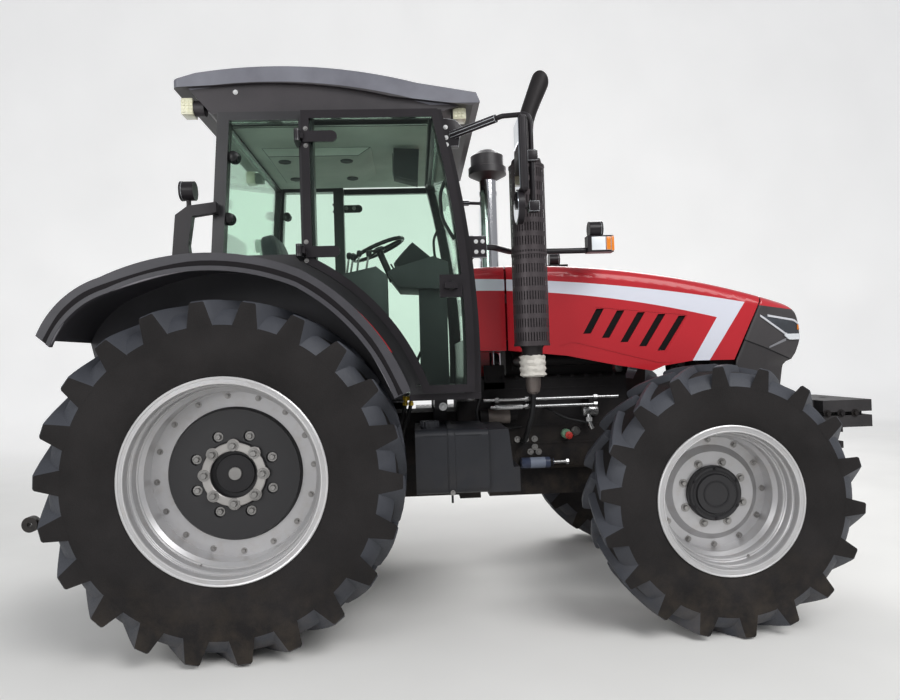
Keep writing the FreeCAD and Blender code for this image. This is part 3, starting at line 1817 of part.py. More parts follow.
def step_box():
    """Tool box with three steps, hung from the gearbox on the left."""
    body = box((step_rear, step_front), (step_inner, step_outer - step_depth), (step_high - 330, step_high))
    pieces = [body]
    side_y = (step_outer - step_depth - 5, step_outer)
    for x in (step_rear, step_front - 14):
        pieces.append(box((x, x + 14), side_y, (step_low, step_high)))
    count = 3
    for index in range(count):
        z = step_low + index * (step_high - step_low - step_board) / (count - 1)
        pieces.append(box((step_rear, step_front), side_y, (z, z + step_board)))
    for x in (step_rear + 60, step_front - 190):
        pieces.append(
            box((x, x + 50), (gearbox_half + running_gap, step_inner + 20), (step_high - 250, step_high - 150)),
        )
    return joined(pieces)


def link_y_at(x):
    share = (x - link_pivot_x) / (link_end_x - link_pivot_x)
    return link_pivot_y + share * (link_end_y - link_pivot_y)


def rod_foot():
    """Where the lift rod meets the lower link."""
    share = rod_reach / math.hypot(link_end_x - link_pivot_x, link_end_z - link_pivot_z)
    x = link_pivot_x + share * (link_end_x - link_pivot_x)
    z = link_pivot_z + share * (link_end_z - link_pivot_z)
    return x, z


def lift_rod_y():
    """Distance of the lift rods from the middle, just inside the splayed lower links."""
    splay = (link_end_y - link_pivot_y) / (link_pivot_x - link_end_x)
    return link_y_at(rod_foot()[0]) - link_thick / 2 - splay * lift_eye_r - 0.4 - lift_rod_r - 4


def rod_pin(side, x, z):
    """Pin from a link or lift arm through the rod's eye."""
    far = lift_rod_y() - lift_rod_r - 12
    near = link_y_at(rod_foot()[0])
    return rod((x, side * far, z), (x, side * near, z), lift_pin_r)


def lower_links():
    """Both lower links, joined by their pivot shaft under the rear case."""
    half = link_height / 2
    pieces = []
    for side in (1, -1):
        plan = [
            (link_pivot_x, side * link_pivot_y - link_thick / 2),
            (link_end_x, side * link_end_y - link_thick / 2),
            (link_end_x, side * link_end_y + link_thick / 2),
            (link_pivot_x, side * link_pivot_y + link_thick / 2),
        ]
        face = Part.Face(wire(plan, lambda p: Vector(p[0], p[1], 0)))
        block = face.extrude(Vector(0, 0, 2000))
        bar = side_plate(
            [
                (link_pivot_x, link_pivot_z + half * 0.8),
                (link_pivot_x, link_pivot_z - half * 0.8),
                (link_end_x, link_end_z - half * 0.7),
                (link_end_x, link_end_z + half * 0.7),
            ],
            -1000,
            1000,
        ).common(block)
        y = side * link_pivot_y
        eye = rod(
            (link_pivot_x, y - link_thick / 2, link_pivot_z),
            (link_pivot_x, y + link_thick / 2, link_pivot_z),
            half,
        )
        y = side * link_end_y
        hook_ends = (y - hook_width / 2, y + hook_width / 2)
        hook = rod((link_end_x, hook_ends[0], link_end_z), (link_end_x, hook_ends[1], link_end_z), hook_r)
        whole = joined([bar, eye, hook, rod_pin(side, *rod_foot())])
        whole = whole.cut(
            rod((link_end_x, y - 60, link_end_z), (link_end_x, y + 60, link_end_z), hook_bore_r)
        )
        pieces.append(whole)
    shaft = rod(
        (link_pivot_x, -link_pivot_y, link_pivot_z), (link_pivot_x, link_pivot_y, link_pivot_z), link_pin_r
    )
    return joined(pieces + [shaft])


def hitch_bracket():
    """Lugs under the rear case that carry the lower links' shaft, and the drawbar's guide."""
    pieces = []
    for side in (1, -1):
        y_ends = sorted((side * 180, side * 230))
        lug = box((link_pivot_x - 45, link_pivot_x + 60), y_ends, (link_pivot_z - 45, rear_case_bottom + 60))
        pieces.append(lug)
        guide = box(
            (-150, -20),
            sorted((side * (drawbar_half + running_gap), side * 230)),
            (drawbar_low - 30, rear_case_bottom + 10),
        )
        pieces.append(guide)
    return pieces


def rear_case():
    """Transmission with the hitch's lugs, bored for the hitch's shafts."""
    whole = joined([transmission_housing()] + hitch_bracket() + top_link_bracket())
    for x, z, radius in (
        (link_pivot_x, link_pivot_z, link_pin_r),
        (lift_shaft_x, lift_shaft_z, lift_shaft_r),
    ):
        whole = whole.cut(rod((x, -300, z), (x, 300, z), radius + pin_play))
    return whole


def lift_arms():
    foot_x, foot_z = rod_foot()
    end_x = lift_shaft_x + foot_x - link_pivot_x
    end_z = lift_shaft_z + foot_z - link_pivot_z
    pieces = []
    y_mid = link_y_at(foot_x)
    for side in (1, -1):
        y_ends = sorted((side * (y_mid - link_thick / 2), side * (y_mid + link_thick / 2)))
        arm = side_plate(
            [
                (lift_shaft_x, lift_shaft_z + lift_arm_width / 2),
                (lift_shaft_x, lift_shaft_z - lift_arm_width / 2),
                (end_x, end_z - lift_arm_width / 3),
                (end_x, end_z + lift_arm_width / 3),
            ],
            y_ends[0],
            y_ends[1],
        )
        eye = rod((end_x, y_ends[0], end_z), (end_x, y_ends[1], end_z), lift_eye_r)
        hub = rod(
            (lift_shaft_x, y_ends[0], lift_shaft_z),
            (lift_shaft_x, y_ends[1], lift_shaft_z),
            lift_shaft_r + 14,
        )
        pieces += [arm, eye, hub, rod_pin(side, end_x, end_z)]
    shaft = rod((lift_shaft_x, -y_mid, lift_shaft_z), (lift_shaft_x, y_mid, lift_shaft_z), lift_shaft_r)
    return joined([shaft] + pieces)


def lift_rods():
    foot_x, foot_z = rod_foot()
    head_x = foot_x + lift_shaft_x - link_pivot_x
    head_z = foot_z + lift_shaft_z - link_pivot_z
    eye_half = lift_rod_r + 4
    y = lift_rod_y()
    pieces = []
    for side in (1, -1):
        bar = rod((foot_x, side * y, foot_z), (head_x, side * y, head_z), lift_rod_r)
        ends = []
        for x, z in ((foot_x, foot_z), (head_x, head_z)):
            ends.append(rod((x, side * y - eye_half, z), (x, side * y + eye_half, z), lift_eye_r))
        whole = joined([bar] + ends)
        for x, z in ((foot_x, foot_z), (head_x, head_z)):
            whole = whole.cut(rod((x, side * y - 60, z), (x, side * y + 60, z), lift_pin_r + pin_play))
        pieces.append(whole)
    return Part.makeCompound(pieces)


def drawbar():
    bar = box((drawbar_rear, drawbar_front), (-drawbar_half, drawbar_half), (drawbar_low, drawbar_high))
    nose_end = rod((drawbar_rear, 0, drawbar_low), (drawbar_rear, 0, drawbar_high), drawbar_half)
    bore = rod((drawbar_rear, 0, drawbar_low - 5), (drawbar_rear, 0, drawbar_high + 5), drawbar_bore_r)
    return joined([bar, nose_end]).cut(bore)


def top_link():
    lean = math.radians(top_link_lean)
    end_x = top_link_x - top_link_length * math.sin(lean)
    end_z = top_link_z + top_link_length * math.cos(lean)
    bar = rod((top_link_x, 0, top_link_z), (end_x, 0, end_z), top_link_r)
    whole = [bar]
    for x, z in ((top_link_x, top_link_z), (end_x, end_z)):
        whole.append(rod((x, -top_link_eye_half, z), (x, top_link_eye_half, z), top_link_eye_r))
    link = joined(whole)
    for x, z in ((top_link_x, top_link_z), (end_x, end_z)):
        link = link.cut(rod((x, -60, z), (x, 60, z), top_link_bore_r))
    return link


def top_link_bracket():
    pieces = []
    for side in (1, -1):
        y_ends = sorted((side * (top_link_eye_half + running_gap), side * (top_link_eye_half + 20)))
        pieces.append(box((top_link_x - 32, rear_case_back + 5), y_ends, (top_link_z - 32, top_link_z + 32)))
    pin_half = top_link_eye_half + 20
    pieces.append(
        rod((top_link_x, -pin_half, top_link_z), (top_link_x, pin_half, top_link_z), top_link_bore_r - pin_play),
    )
    return pieces


# Cab interior

seat_x = 180.0
seat_half = 250.0
seat_length = 480.0
seat_height = 478.0
seat_thick = 150.0
seat_back_height = 640.0
seat_back_thick = 140.0
seat_back_lean = 12.0
seat_base_half = 170.0
seat_arm_rise = 120.0
wheel_x = 730.0
wheel_rise = 914.0
wheel_ring_r = 172.0
wheel_ring_thick = 13.0
wheel_tilt = 22.7
console_half = 230.0
console_height = 638.0
column_half = 150.0
cluster_rise = 293.0

def seat():
    """Cushion on its base, leaning back rest and two arm rests."""
    top = floor_top + seat_height
    rear = seat_x
    front = seat_x + seat_length
    base = box(
        (rear + 50, front - 100), (-seat_base_half, seat_base_half),
        (floor_top + running_gap, top - seat_thick + 10),
    )
    cushion = box((rear, front), (-seat_half, seat_half), (top - seat_thick, top))
    cushion = cushion.makeFillet(40, cushion.Edges)
    back = box(
        (rear - seat_back_thick + 50, rear + 50), (-seat_half + 10, seat_half - 10),
        (top - 80, top - 80 + seat_back_height),
    )
    back = back.makeFillet(45, back.Edges)
    back.rotate(Vector(rear + 50, 0, top), Vector(0, 1, 0), -seat_back_lean)
    arms = []
    arm_z = (top + seat_arm_rise, top + seat_arm_rise + 50)
    for side in (1, -1):
        arm = box((rear - 60, front - 140), sorted((side * (seat_half - 50), side * (seat_half + 60))), arm_z)
        notch = box(
            (rear + 12, front), sorted((side * (seat_half - 60), side * (seat_half + 5))),
            (arm_z[0] - 10, arm_z[1] + 10),
        )
        arms.append(arm.cut(notch))
    return joined([base, cushion, back] + arms)


def controls():
    """Dashboard and instrument pod on the column, with the steering wheel."""
    top = floor_top + console_height
    rear = wheel_x + 250
    column = box((rear, rear + 180), (-column_half, column_half), (floor_top + running_gap, top))
    dashboard = side_plate(
        [
            (rear - 120, top),
            (rear - 190, top + 95),
            (rear - 150, top + 120),
            (rear + 100, top + 190),
            (rear + 190, top + 150),
            (rear + 200, top - 20),
        ],
        -console_half,
        console_half,
    )
    cluster = side_plate(
        [
            (rear - 150, top + 160),
            (rear - 28, top + cluster_rise),
            (rear + 88, top + cluster_rise - 100),
            (rear - 20, top + 60),
        ],
        -column_half,
        column_half,
    )
    centre = Vector(wheel_x, 0, floor_top + wheel_rise)
    tilt = math.radians(wheel_tilt)
    axis = Vector(-math.sin(tilt), 0, math.cos(tilt))
    ring = Part.makeTorus(wheel_ring_r, wheel_ring_thick, centre, axis)
    shaft = rod(centre - axis * 340, centre, 22)
    hub = rod(centre - axis * 30, centre + axis * 8, 42)
    spokes = []
    across = axis.cross(Vector(0, 1, 0)).normalize()
    for turn in (90, 210, 330):
        way = across * math.cos(math.radians(turn)) + Vector(0, 1, 0) * math.sin(math.radians(turn))
        spokes.append(rod(centre, centre + way * wheel_ring_r, 9))
    return joined([column, dashboard, cluster, shaft, hub, ring] + spokes)


# Mirrors and lamps

def mirror():
    y0 = cab_half - 40
    start_x = front_pillar_curve(0, 0, mirror_high - 90, mirror_high + 10)[1][0] - 8
    arm = tube_path(
        [
            (start_x, y0, mirror_high - 40),
            (start_x + 280, mirror_y - 30, mirror_high),
            (mirror_x, mirror_y, mirror_high),
            (mirror_x, mirror_y, mirror_low),
        ],
        arm_tube_r,
        40.0,
    )
    plate = box(
        (mirror_x - arm_tube_r - mirror_thick - 20, mirror_x - arm_tube_r - 20),
        (mirror_y - mirror_width / 2, mirror_y + mirror_width / 2),
        (mirror_high - 30 - mirror_height, mirror_high - 30),
    )
    plate = plate.makeFillet(15, plate.Edges)
    clamp = box(
        (mirror_x - arm_tube_r - 40, mirror_x + arm_tube_r + 6),
        (mirror_y - 20, mirror_y + 20),
        (mirror_high - 250, mirror_high - 190),
    )
    round_z = mirror_low + 30
    stub = rod((mirror_x - 60, mirror_y, round_z), (mirror_x, mirror_y, round_z), 12)
    disc = rod((mirror_x - 85, mirror_y, round_z), (mirror_x - 55, mirror_y, round_z), round_mirror_r)
    foot = box((start_x - 30, start_x + 40), (cab_half - 60, cab_half - 20), (mirror_high - 80, mirror_high))
    whole = joined([arm, plate, clamp, stub, disc, foot])
    cut_back = side_plate(pillar_clear(), cab_half - 200, cab_half + 2)
    return whole.cut(cut_back)


def pillar_clear():
    """Outline a hair larger than the front pillar, for seating what bolts to it."""
    front = front_pillar_curve(-running_gap, -running_gap, floor_top + 10, cab_top - 2)
    return [front[0], front[1] + (1,), front[2], (600, cab_top - 2), (600, floor_top + 10)]


def lamp_arm():
    start_x = front_pillar_curve(0, 0, lamp_arm_z - 50, lamp_arm_z + 50)[1][0]
    plate = box(
        (start_x - 40, start_x + 16), (cab_half - 65, cab_half - 5), (lamp_arm_z - 60, lamp_arm_z + 60)
    )
    arm = tube_path(
        [
            (start_x, cab_half - 35, lamp_arm_z),
            (start_x + 110, cab_half - 35, lamp_arm_z),
            (start_x + 240, lamp_arm_y, lamp_arm_z),
            (lamp_arm_end, lamp_arm_y, lamp_arm_z),
        ],
        arm_tube_r,
        40.0,
    )
    lamp = box(
        (lamp_arm_end - 10, lamp_arm_end + lamp_length),
        (lamp_arm_y - lamp_width / 2, lamp_arm_y + lamp_width / 2),
        (lamp_arm_z - 15, lamp_arm_z + lamp_height - 15),
    )
    work = rod(
        (lamp_arm_end + 5, lamp_arm_y, lamp_arm_z + lamp_height + 25),
        (lamp_arm_end + 75, lamp_arm_y, lamp_arm_z + lamp_height + 25),
        work_lamp_r,
    )
    whole = joined([plate, arm, lamp, work])
    return whole.cut(side_plate(pillar_clear(), cab_half - 200, cab_half + 2))


rear_bar_path = [
    # x, height above the bar's foot
    (-300.0, 0.0),
    (-270.0, 320.0),
    (-205.0, 367.0),
    (-60.0, 385.0),
    (-60.0, 331.0),
    (-183.0, 313.0),
    (-206.0, 165.0),
    (-190.0, 0.0),
]


def rear_lamp():
    """Bent bar from the fender to the rear pillar, with a round lamp on its stem."""
    y = cab_half + 36
    foot_z = fender_path[4][1] + 40
    bar = side_plate(
        [(x, foot_z + rise) for x, rise in rear_bar_path], y - rear_bar_half, y + rear_bar_half
    )
    ends = box((-120, -60), (cab_half + running_gap, y), (foot_z + 331, foot_z + 381))
    foot = box((-318, -180), (y - 30, y + 30), (foot_z - 100, foot_z + 10))
    lamp_z = foot_z + rear_lamp_rise
    lamp = rod((rear_lamp_x - 20, y, lamp_z), (rear_lamp_x + 45, y, lamp_z), rear_lamp_r)
    stem = rod((rear_lamp_x + 10, y, foot_z + 345), (rear_lamp_x + 10, y, lamp_z), 12)
    whole = joined([bar, ends, foot, lamp, stem])
    return whole.cut(fender_band(-300, running_gap, y - 60, y + 60))


def export(name, shape):
    shape = shape.copy()
    shape.translate(Vector(-x_mid, 0, 0))
    solids = len(shape.Solids)
    bounds = shape.BoundBox
    print(
        "%-22s solids %d valid %s x %.0f %.0f y %.0f %.0f z %.0f %.0f"
        % (
            name,
            solids,
            shape.isValid(),
            bounds.XMin,
            bounds.XMax,
            bounds.YMin,
            bounds.YMax,
            bounds.ZMin,
            bounds.ZMax,
        )
    )
    shape.exportStep("parts/%s.step" % name)


def export_pair(name, shape):
    export(name + "_left", shape)
    export(name + "_right", mirrored(shape))


def main():
    os.makedirs("parts", exist_ok=True)
    rear_tyre = tyre(
        0, rear_axle_z, rear_track / 2, rear_tyre_r, rear_tyre_width, rear_rim_seat_r, rear_rim_width,
        rear_lug_height, rear_lug_count
    )
    front_tyre = tyre(
        wheelbase, front_axle_z, front_track / 2, front_tyre_r, front_tyre_width, front_rim_seat_r,
        front_rim_width, front_lug_height, front_lug_count
    )
    export_pair("rear_tyre", rear_tyre)
    export_pair("rear_rim", rear_rim())
    export_pair("front_tyre", front_tyre)
    export_pair("front_rim", front_rim())
    export_pair("knuckle", knuckle())
    export("tie_rod", tie_rod())
    export("front_axle_beam", front_axle_beam())
    export("engine_block", engine_block())
    export("transmission_housing", rear_case())
    trumpet = rear_axle_housing()
    export_pair("rear_axle_housing", trumpet)
    export("front_frame", front_frame())
    export("weight_carrier", weight_carrier())
    export("radiator", radiator())
    export("cab_floor", cab_floor())
    export("cab_front_frame", cab_front_frame())
    export("cab_rear_frame", cab_rear_frame())
    export_pair("cab_side", cab_side())
    export("roof", roof())
    export("windshield", windshield())
    export("rear_window", rear_window())
    export_pair("quarter_window", quarter_window())
    export_pair("door", door())
    export_pair("door_glass", door_glass())
    export_pair("fender", fender())
    export("seat", seat())
    export("controls", controls())
    export("hood", hood())
    export("cowl", cowl())
    export("nose", nose())
    export("headlamps", Part.makeCompound([headlamp(1), headlamp(-1)]))
    export("exhaust", exhaust())
    export("air_intake", air_intake())
    export("fuel_tank", fuel_tank())
    export("step_box", step_box())
    export("lower_links", lower_links())
    export("lift_arms", lift_arms())
    export("lift_rods", lift_rods())
    export("drawbar", drawbar())
    export("top_link", top_link())
    export_pair("mirror", mirror())
    export_pair("lamp_arm", lamp_arm())
    export_pair("rear_lamp", rear_lamp())


main()
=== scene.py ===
import json
import math

import bmesh
import bpy
from mathutils import Matrix, Vector


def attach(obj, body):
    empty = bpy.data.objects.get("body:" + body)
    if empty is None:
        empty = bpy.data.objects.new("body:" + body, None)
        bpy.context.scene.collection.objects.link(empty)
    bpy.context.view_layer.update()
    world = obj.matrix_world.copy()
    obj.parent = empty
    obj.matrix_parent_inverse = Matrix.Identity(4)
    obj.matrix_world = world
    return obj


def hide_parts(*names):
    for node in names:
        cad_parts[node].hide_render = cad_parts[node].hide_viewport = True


# Farm tractor: finishes for every piece of the frame, and the finer pieces around it.
# Lengths are in metres. X runs forward from the rear axle, Y to the left, Z up from the ground.
# A piece that both sides have is drawn on the left and mirrored to the right.

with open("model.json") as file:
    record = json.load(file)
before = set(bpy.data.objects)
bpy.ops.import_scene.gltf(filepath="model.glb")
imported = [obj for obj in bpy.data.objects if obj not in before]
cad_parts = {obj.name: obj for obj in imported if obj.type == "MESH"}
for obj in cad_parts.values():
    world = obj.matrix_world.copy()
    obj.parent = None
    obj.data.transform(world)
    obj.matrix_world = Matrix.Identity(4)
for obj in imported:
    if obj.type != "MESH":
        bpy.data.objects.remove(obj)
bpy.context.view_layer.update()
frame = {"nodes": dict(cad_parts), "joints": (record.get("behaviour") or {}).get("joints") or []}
nodes = frame["nodes"]
joint_at = {joint["name"]: Vector(joint["pos_m"]) for joint in frame["joints"]}

SIDES = (("left", 1), ("right", -1))
REAR_WHEEL = joint_at["rear_wheel_left_spin"]
FRONT_WHEEL = joint_at["front_wheel_left_spin"]
REAR_AXLE_X = REAR_WHEEL.x
CHASSIS = "chassis"
HOOD = "hood"
AHEAD, BACK, LEFT, RIGHT, UP, DOWN = (1, 0, 0), (-1, 0, 0), (0, 1, 0), (0, -1, 0), (0, 0, 1), (0, 0, -1)
# Radius at which turned forms close on their axis
PIN = 0.0001

# Camera, fitted to the wheels in the photograph: place, angles in degrees and focal length
CAMERA_AT = (-0.2922, -4.4113, 1.4366)
CAMERA_YAW = 2.914
CAMERA_PITCH = 0.903
CAMERA_ROLL = -1.814
CAMERA_LENS = 27.04

# Colours as they look in the photograph, 0 to 255
RED = (186, 34, 44)
STRIPE_SILVER = (214, 216, 226)
RUBBER = (36, 34, 34)
RIM_SILVER = (190, 189, 190)
GLASS_TINT = (244, 252, 247)
DUST = (150, 132, 108)

# Share of the mirror image on each of a pane's two faces
GLASS_SHEEN = 0.5


# Materials

def linear(colour):
    """A colour as it looks, 0 to 255, as the linear values that shaders take."""
    shares = [value / 255 for value in colour]
    return (*(s / 12.92 if s <= 0.04045 else ((s + 0.055) / 1.055) ** 2.4 for s in shares), 1.0)


def scaled(colour, share):
    return (*(min(1.0, value * share) for value in colour[:3]), 1.0)


class Tree:
    """A material's nodes, wired by short calls."""

    def __init__(self, name):
        self.material = bpy.data.materials.new(name)
        self.material.use_nodes = True
        self.tree = self.material.node_tree
        self.shader = self.tree.nodes["Principled BSDF"]
        self.place = self.node("TexCoord", {}).outputs["Object"]

    def feed(self, target, value):
        if hasattr(value, "is_output"):
            self.tree.links.new(value, target)
        else:
            target.default_value = value

    def node(self, kind, values):
        """A node whose inputs, by name or number, are set or linked."""
        node = self.tree.nodes.new("ShaderNode" + kind)
        for name, value in values.items():
            self.feed(node.inputs[name], value)
        return node

    def put(self, **values):
        """Sets or links the shader's inputs. Base_Color stands for Base Color."""
        for name, value in values.items():
            self.feed(self.shader.inputs[name.replace("_", " ")], value)

    def math(self, operation, first, second=0.0):
        node = self.node("Math", {0: first, 1: second})
        node.operation = operation
        return node.outputs[0]

    def plus(self, first, second):
        return self.math("ADD", first, second)

    def minus(self, first, second):
        return self.math("SUBTRACT", first, second)

    def times(self, first, second):
        return self.math("MULTIPLY", first, second)

    def split(self, vector):
        return self.node("SeparateXYZ", {0: vector}).outputs[:3]

    def place_from_axle(self):
        """The place's x counted from the rear axle, y and z."""
        x, y, z = self.split(self.place)
        return self.minus(x, REAR_AXLE_X), y, z

    def noise(self, scale, detail=3.0, rough=0.55):
        values = {"Scale": scale, "Detail": detail, "Roughness": rough, "Vector": self.place}
        return self.node("TexNoise", values).outputs["Fac"]

    def spread(self, value, low, high, to_low=0.0, to_high=1.0):
        """A value taken from one range to another and held within it."""
        values = {"Value": value, "From Min": low, "From Max": high, "To Min": to_low, "To Max": to_high}
        return self.node("MapRange", values).outputs["Result"]

    def mix(self, share, first, second):
        node = self.node("Mix", {})
        node.data_type = "RGBA"
        for name, value in (("Factor", share), (6, first), (7, second)):
            self.feed(node.inputs[name], value)
        return node.outputs[2]

    def clouds(self, scale, first, second):
        """Slow changes from one tone to another."""
        return self.mix(self.spread(self.noise(scale, 4.0), 0.35, 0.65), first, second)

    def bump(self, height, distance):
        values = {"Distance": distance, "Strength": 1.0, "Height": height}
        self.put(Normal=self.node("Bump", values).outputs[0])

    def inside(self, value, low, high, soft=0.0005):
        """1 where a value lies between two limits."""
        above = self.spread(value, low - soft, low + soft)
        return self.times(above, self.spread(value, high - soft, high + soft, 1.0, 0.0))

    def reach(self, x, z, centre_x, centre_z):
        """Distance from a centre in the side view."""
        across = self.math("POWER", self.minus(x, centre_x), 2.0)
        upward = self.math("POWER", self.minus(z, centre_z), 2.0)
        return self.math("SQRT", self.plus(across, upward))

    def below(self, x, z, curve, soft=0.0006):
        """1 where z is under the parabola through three points of x and z."""
        (x0, z0), (x1, z1), (x2, z2) = curve
        bend = ((z2 - z0) / (x2 - x0) - (z1 - z0) / (x1 - x0)) / (x2 - x1)
        slope = (z1 - z0) / (x1 - x0) - bend * (x0 + x1)
        start = z0 - slope * x0 - bend * x0 * x0
        height = self.plus(self.times(self.plus(self.times(x, bend), slope), x), start)
        return self.spread(self.minus(height, z), -soft, soft)

    def before(self, x, z, low, high, soft=0.0006):
        """1 where x is ahead of the straight line between two points of x and z."""
        slope = (high[0] - low[0]) / (high[1] - low[1])
        line = self.plus(self.times(z, slope), low[0] - slope * low[1])
        return self.spread(self.minus(x, line), -soft, soft)


def surface(
    name, colour, rough, metal=0.0, grain=220.0, depth=0.0002,
    vary=0.12, dust=0.0, dust_top=1.0, coat=0.0, gloss=0.3
):
    """A painted, moulded or cast finish with grain, uneven tone and dust low down."""
    tree = Tree(name)
    base = linear(colour)
    tone = tree.clouds(3.5, scaled(base, 1 - vary), scaled(base, 1 + vary))
    if dust:
        height = tree.spread(tree.split(tree.place)[2], 0.0, dust_top, 1.0, 0.0)
        patches = tree.spread(tree.noise(9.0, 5.0, 0.65), 0.4, 0.75)
        tone = tree.mix(tree.times(tree.times(height, patches), dust), tone, linear(DUST))
    fine = tree.noise(grain, 2.0)
    roughness = tree.spread(fine, 0.3, 0.7, rough * 0.88, min(1.0, rough * 1.12))
    tree.put(Base_Color=tone, Roughness=roughness, Metallic=metal, Specular_IOR_Level=gloss)
    if coat:
        tree.put(Coat_Weight=coat, Coat_Roughness=0.08)
    tree.bump(fine, depth)
    return tree.material


def glass():
    """Tinted pane: clear for what is behind it, with a gloss that grows at a slant."""
    tree = Tree("cab_glass")
    tree.put(Base_Color=linear(GLASS_TINT), Metallic=1.0, Roughness=0.05)
    clear = tree.node("BsdfTransparent", {"Color": linear(GLASS_TINT)})
    smear = tree.spread(tree.noise(2.5, 3.0), 0.3, 0.7, 0.9, 1.0)
    fresnel = tree.node("Fresnel", {"IOR": 1.45})
    share = tree.times(fresnel.outputs[0], tree.times(smear, GLASS_SHEEN))
    mixer = tree.node("MixShader", {0: share, 1: clear.outputs[0], 2: tree.shader.outputs[0]})
    tree.feed(tree.tree.nodes["Material Output"].inputs["Surface"], mixer.outputs[0])
    return tree.material


# The silver stripe along the hood's side, and the band that runs down from it
STRIPE_TOP = ((1.319, 1.916), (2.071, 1.866), (2.76, 1.77))
STRIPE_FOOT = ((1.319, 1.846), (2.071, 1.788), (2.76, 1.652))
BAND_REAR = ((2.618, 1.395), (2.8, 1.69))
BAND_FRONT = ((2.723, 1.395), (2.965, 1.76))

def hood_paint():
    """Red enamel with slow changes of depth, its orange peel, and the silver stripe."""
    tree = Tree("hood_paint")
    ahead, y, z = tree.place_from_axle()
    behind = tree.minus(1.0, tree.before(ahead, z, *BAND_FRONT))
    under_top = tree.below(ahead, z, STRIPE_TOP)
    stripe = tree.times(tree.minus(under_top, tree.below(ahead, z, STRIPE_FOOT)), behind)
    band = tree.times(tree.times(tree.before(ahead, z, *BAND_REAR), behind), under_top)
    flank = tree.spread(tree.math("ABSOLUTE", y), 0.36, 0.37)
    mark = tree.times(tree.math("MAXIMUM", stripe, band), flank)
    red = linear(RED)
    tone = tree.mix(tree.spread(tree.noise(2.2, 3.0), 0.3, 0.7), scaled(red, 0.86), red)
    peel = tree.noise(140.0, 2.0)
    tree.put(Base_Color=tree.mix(mark, tone, linear(STRIPE_SILVER)))
    tree.put(Roughness=tree.spread(peel, 0.3, 0.7, 0.3, 0.38), Specular_IOR_Level=0.25)
    tree.put(Coat_Weight=0.35, Coat_Roughness=0.06)
    tree.bump(peel, 0.00008)
    return tree.material


# The line along the nose's side from the seam down to its chin, below which the charcoal is painted darker as
# shade, and the lower edge of the red above the lamps
NOSE_CREASE = ((2.933, 1.507), (3.08, 1.447), (3.25, 1.38))
NOSE_RED_LINE = ((3.04, 1.713), (3.24, 1.69), (3.44, 1.668))

def nose_paint():
    """Charcoal moulding under the hood's red, which runs on above the lamps to the tip, with painted shade
    below its crease.
    """
    tree = Tree("nose_paint")
    ahead, _, z = tree.place_from_axle()
    red = tree.minus(1.0, tree.below(ahead, z, NOSE_RED_LINE))
    dark = linear((60, 57, 58))
    tone = tree.clouds(4.0, scaled(dark, 0.85), dark)
    # painted shade: below the crease the charcoal turns to a darker copy of itself
    tone = tree.mix(tree.below(ahead, z, NOSE_CREASE), tone, linear((44, 41, 42)))
    tree.put(Base_Color=tree.mix(red, tone, linear(RED)))
    tree.put(Roughness=tree.spread(red, 0.0, 1.0, 0.42, 0.28), Coat_Weight=tree.times(red, 0.6))
    tree.bump(tree.noise(340.0, 2.0), 0.00015)
    return tree.material


def circle_through(points):
    """Centre and radius of the circle through three points."""
    (ax, ay), (bx, by), (cx, cy) = points
    scale = 2 * (ax * (by - cy) + bx * (cy - ay) + cx * (ay - by))
    a, b, c = ax * ax + ay * ay, bx * bx + by * by, cx * cx + cy * cy
    x = (a * (by - cy) + b * (cy - ay) + c * (ay - by)) / scale
    y = (a * (cx - bx) + b * (ax - cx) + c * (bx - ax)) / scale
    return x, y, math.hypot(ax - x, ay - y)


# The fender's outer line from its foot over the wheel to its tail
FENDER_LINE = (
    (0.908, 1.29), (0.733, 1.606), (0.403, 1.887), (-0.07, 1.98),
    (-0.54, 1.875), (-0.728, 1.765), (-0.836, 1.607),
)
# The red strip on the cab's side: its reach beyond the wheel's arch, and its heights
ARCH_STRIP = 0.013
ARCH_STRIP_Z = (1.49, 1.8)

def cab_side_paint():
    """Black frame whose strip along the rear wheel's arch is red."""
    tree = Tree("cab_side_paint")
    ahead, _, z = tree.place_from_axle()
    *centre, arch_r = circle_through(FENDER_LINE[:3])
    strip = tree.inside(tree.reach(ahead, z, *centre), arch_r - 0.1, arch_r + ARCH_STRIP)
    strip = tree.times(strip, tree.inside(z, *ARCH_STRIP_Z))
    fine = tree.noise(260.0, 2.0)
    tone = tree.clouds(4.0, linear((26, 25, 27)), linear((34, 33, 36)))
    roughness = tree.spread(fine, 0.3, 0.7, 0.32, 0.4)
    tree.put(Base_Color=tree.mix(strip, tone, linear(RED)), Coat_Weight=0.2, Roughness=roughness)
    tree.bump(fine, 0.0001)
    return tree.material


def rim_finish(name, centre, black_r):
    """Silver rim whose hub plate is black, with patches of dust."""
    tree = Tree(name)
    x, _, z = tree.split(tree.place)
    black = tree.inside(tree.reach(x, z, centre.x, centre.z), 0.0, black_r)
    silver = linear(RIM_SILVER)
    tone = tree.clouds(3.0, scaled(silver, 0.9), silver)
    tone = tree.mix(tree.spread(tree.noise(14.0, 5.0, 0.65), 0.5, 0.8, 0.0, 0.25), tone, linear(DUST))
    metal, roughness = tree.spread(black, 0.0, 1.0, 0.5, 0.0), tree.spread(black, 0.0, 1.0, 0.34, 0.45)
    tree.put(Base_Color=tree.mix(black, tone, linear((33, 32, 34))), Metallic=metal, Roughness=roughness)
    tree.bump(tree.noise(260.0, 2.0), 0.00015)
    return tree.material


# Lower edge of the roof's pale grey cap, a painted sheen on the dark roof, along its side, and at its front
ROOF_SHEEN_EDGE = ((0.014, 2.942), (0.5, 2.936), (1.083, 2.821))
ROOF_SHEEN_FRONT = (2.823, 2.826)

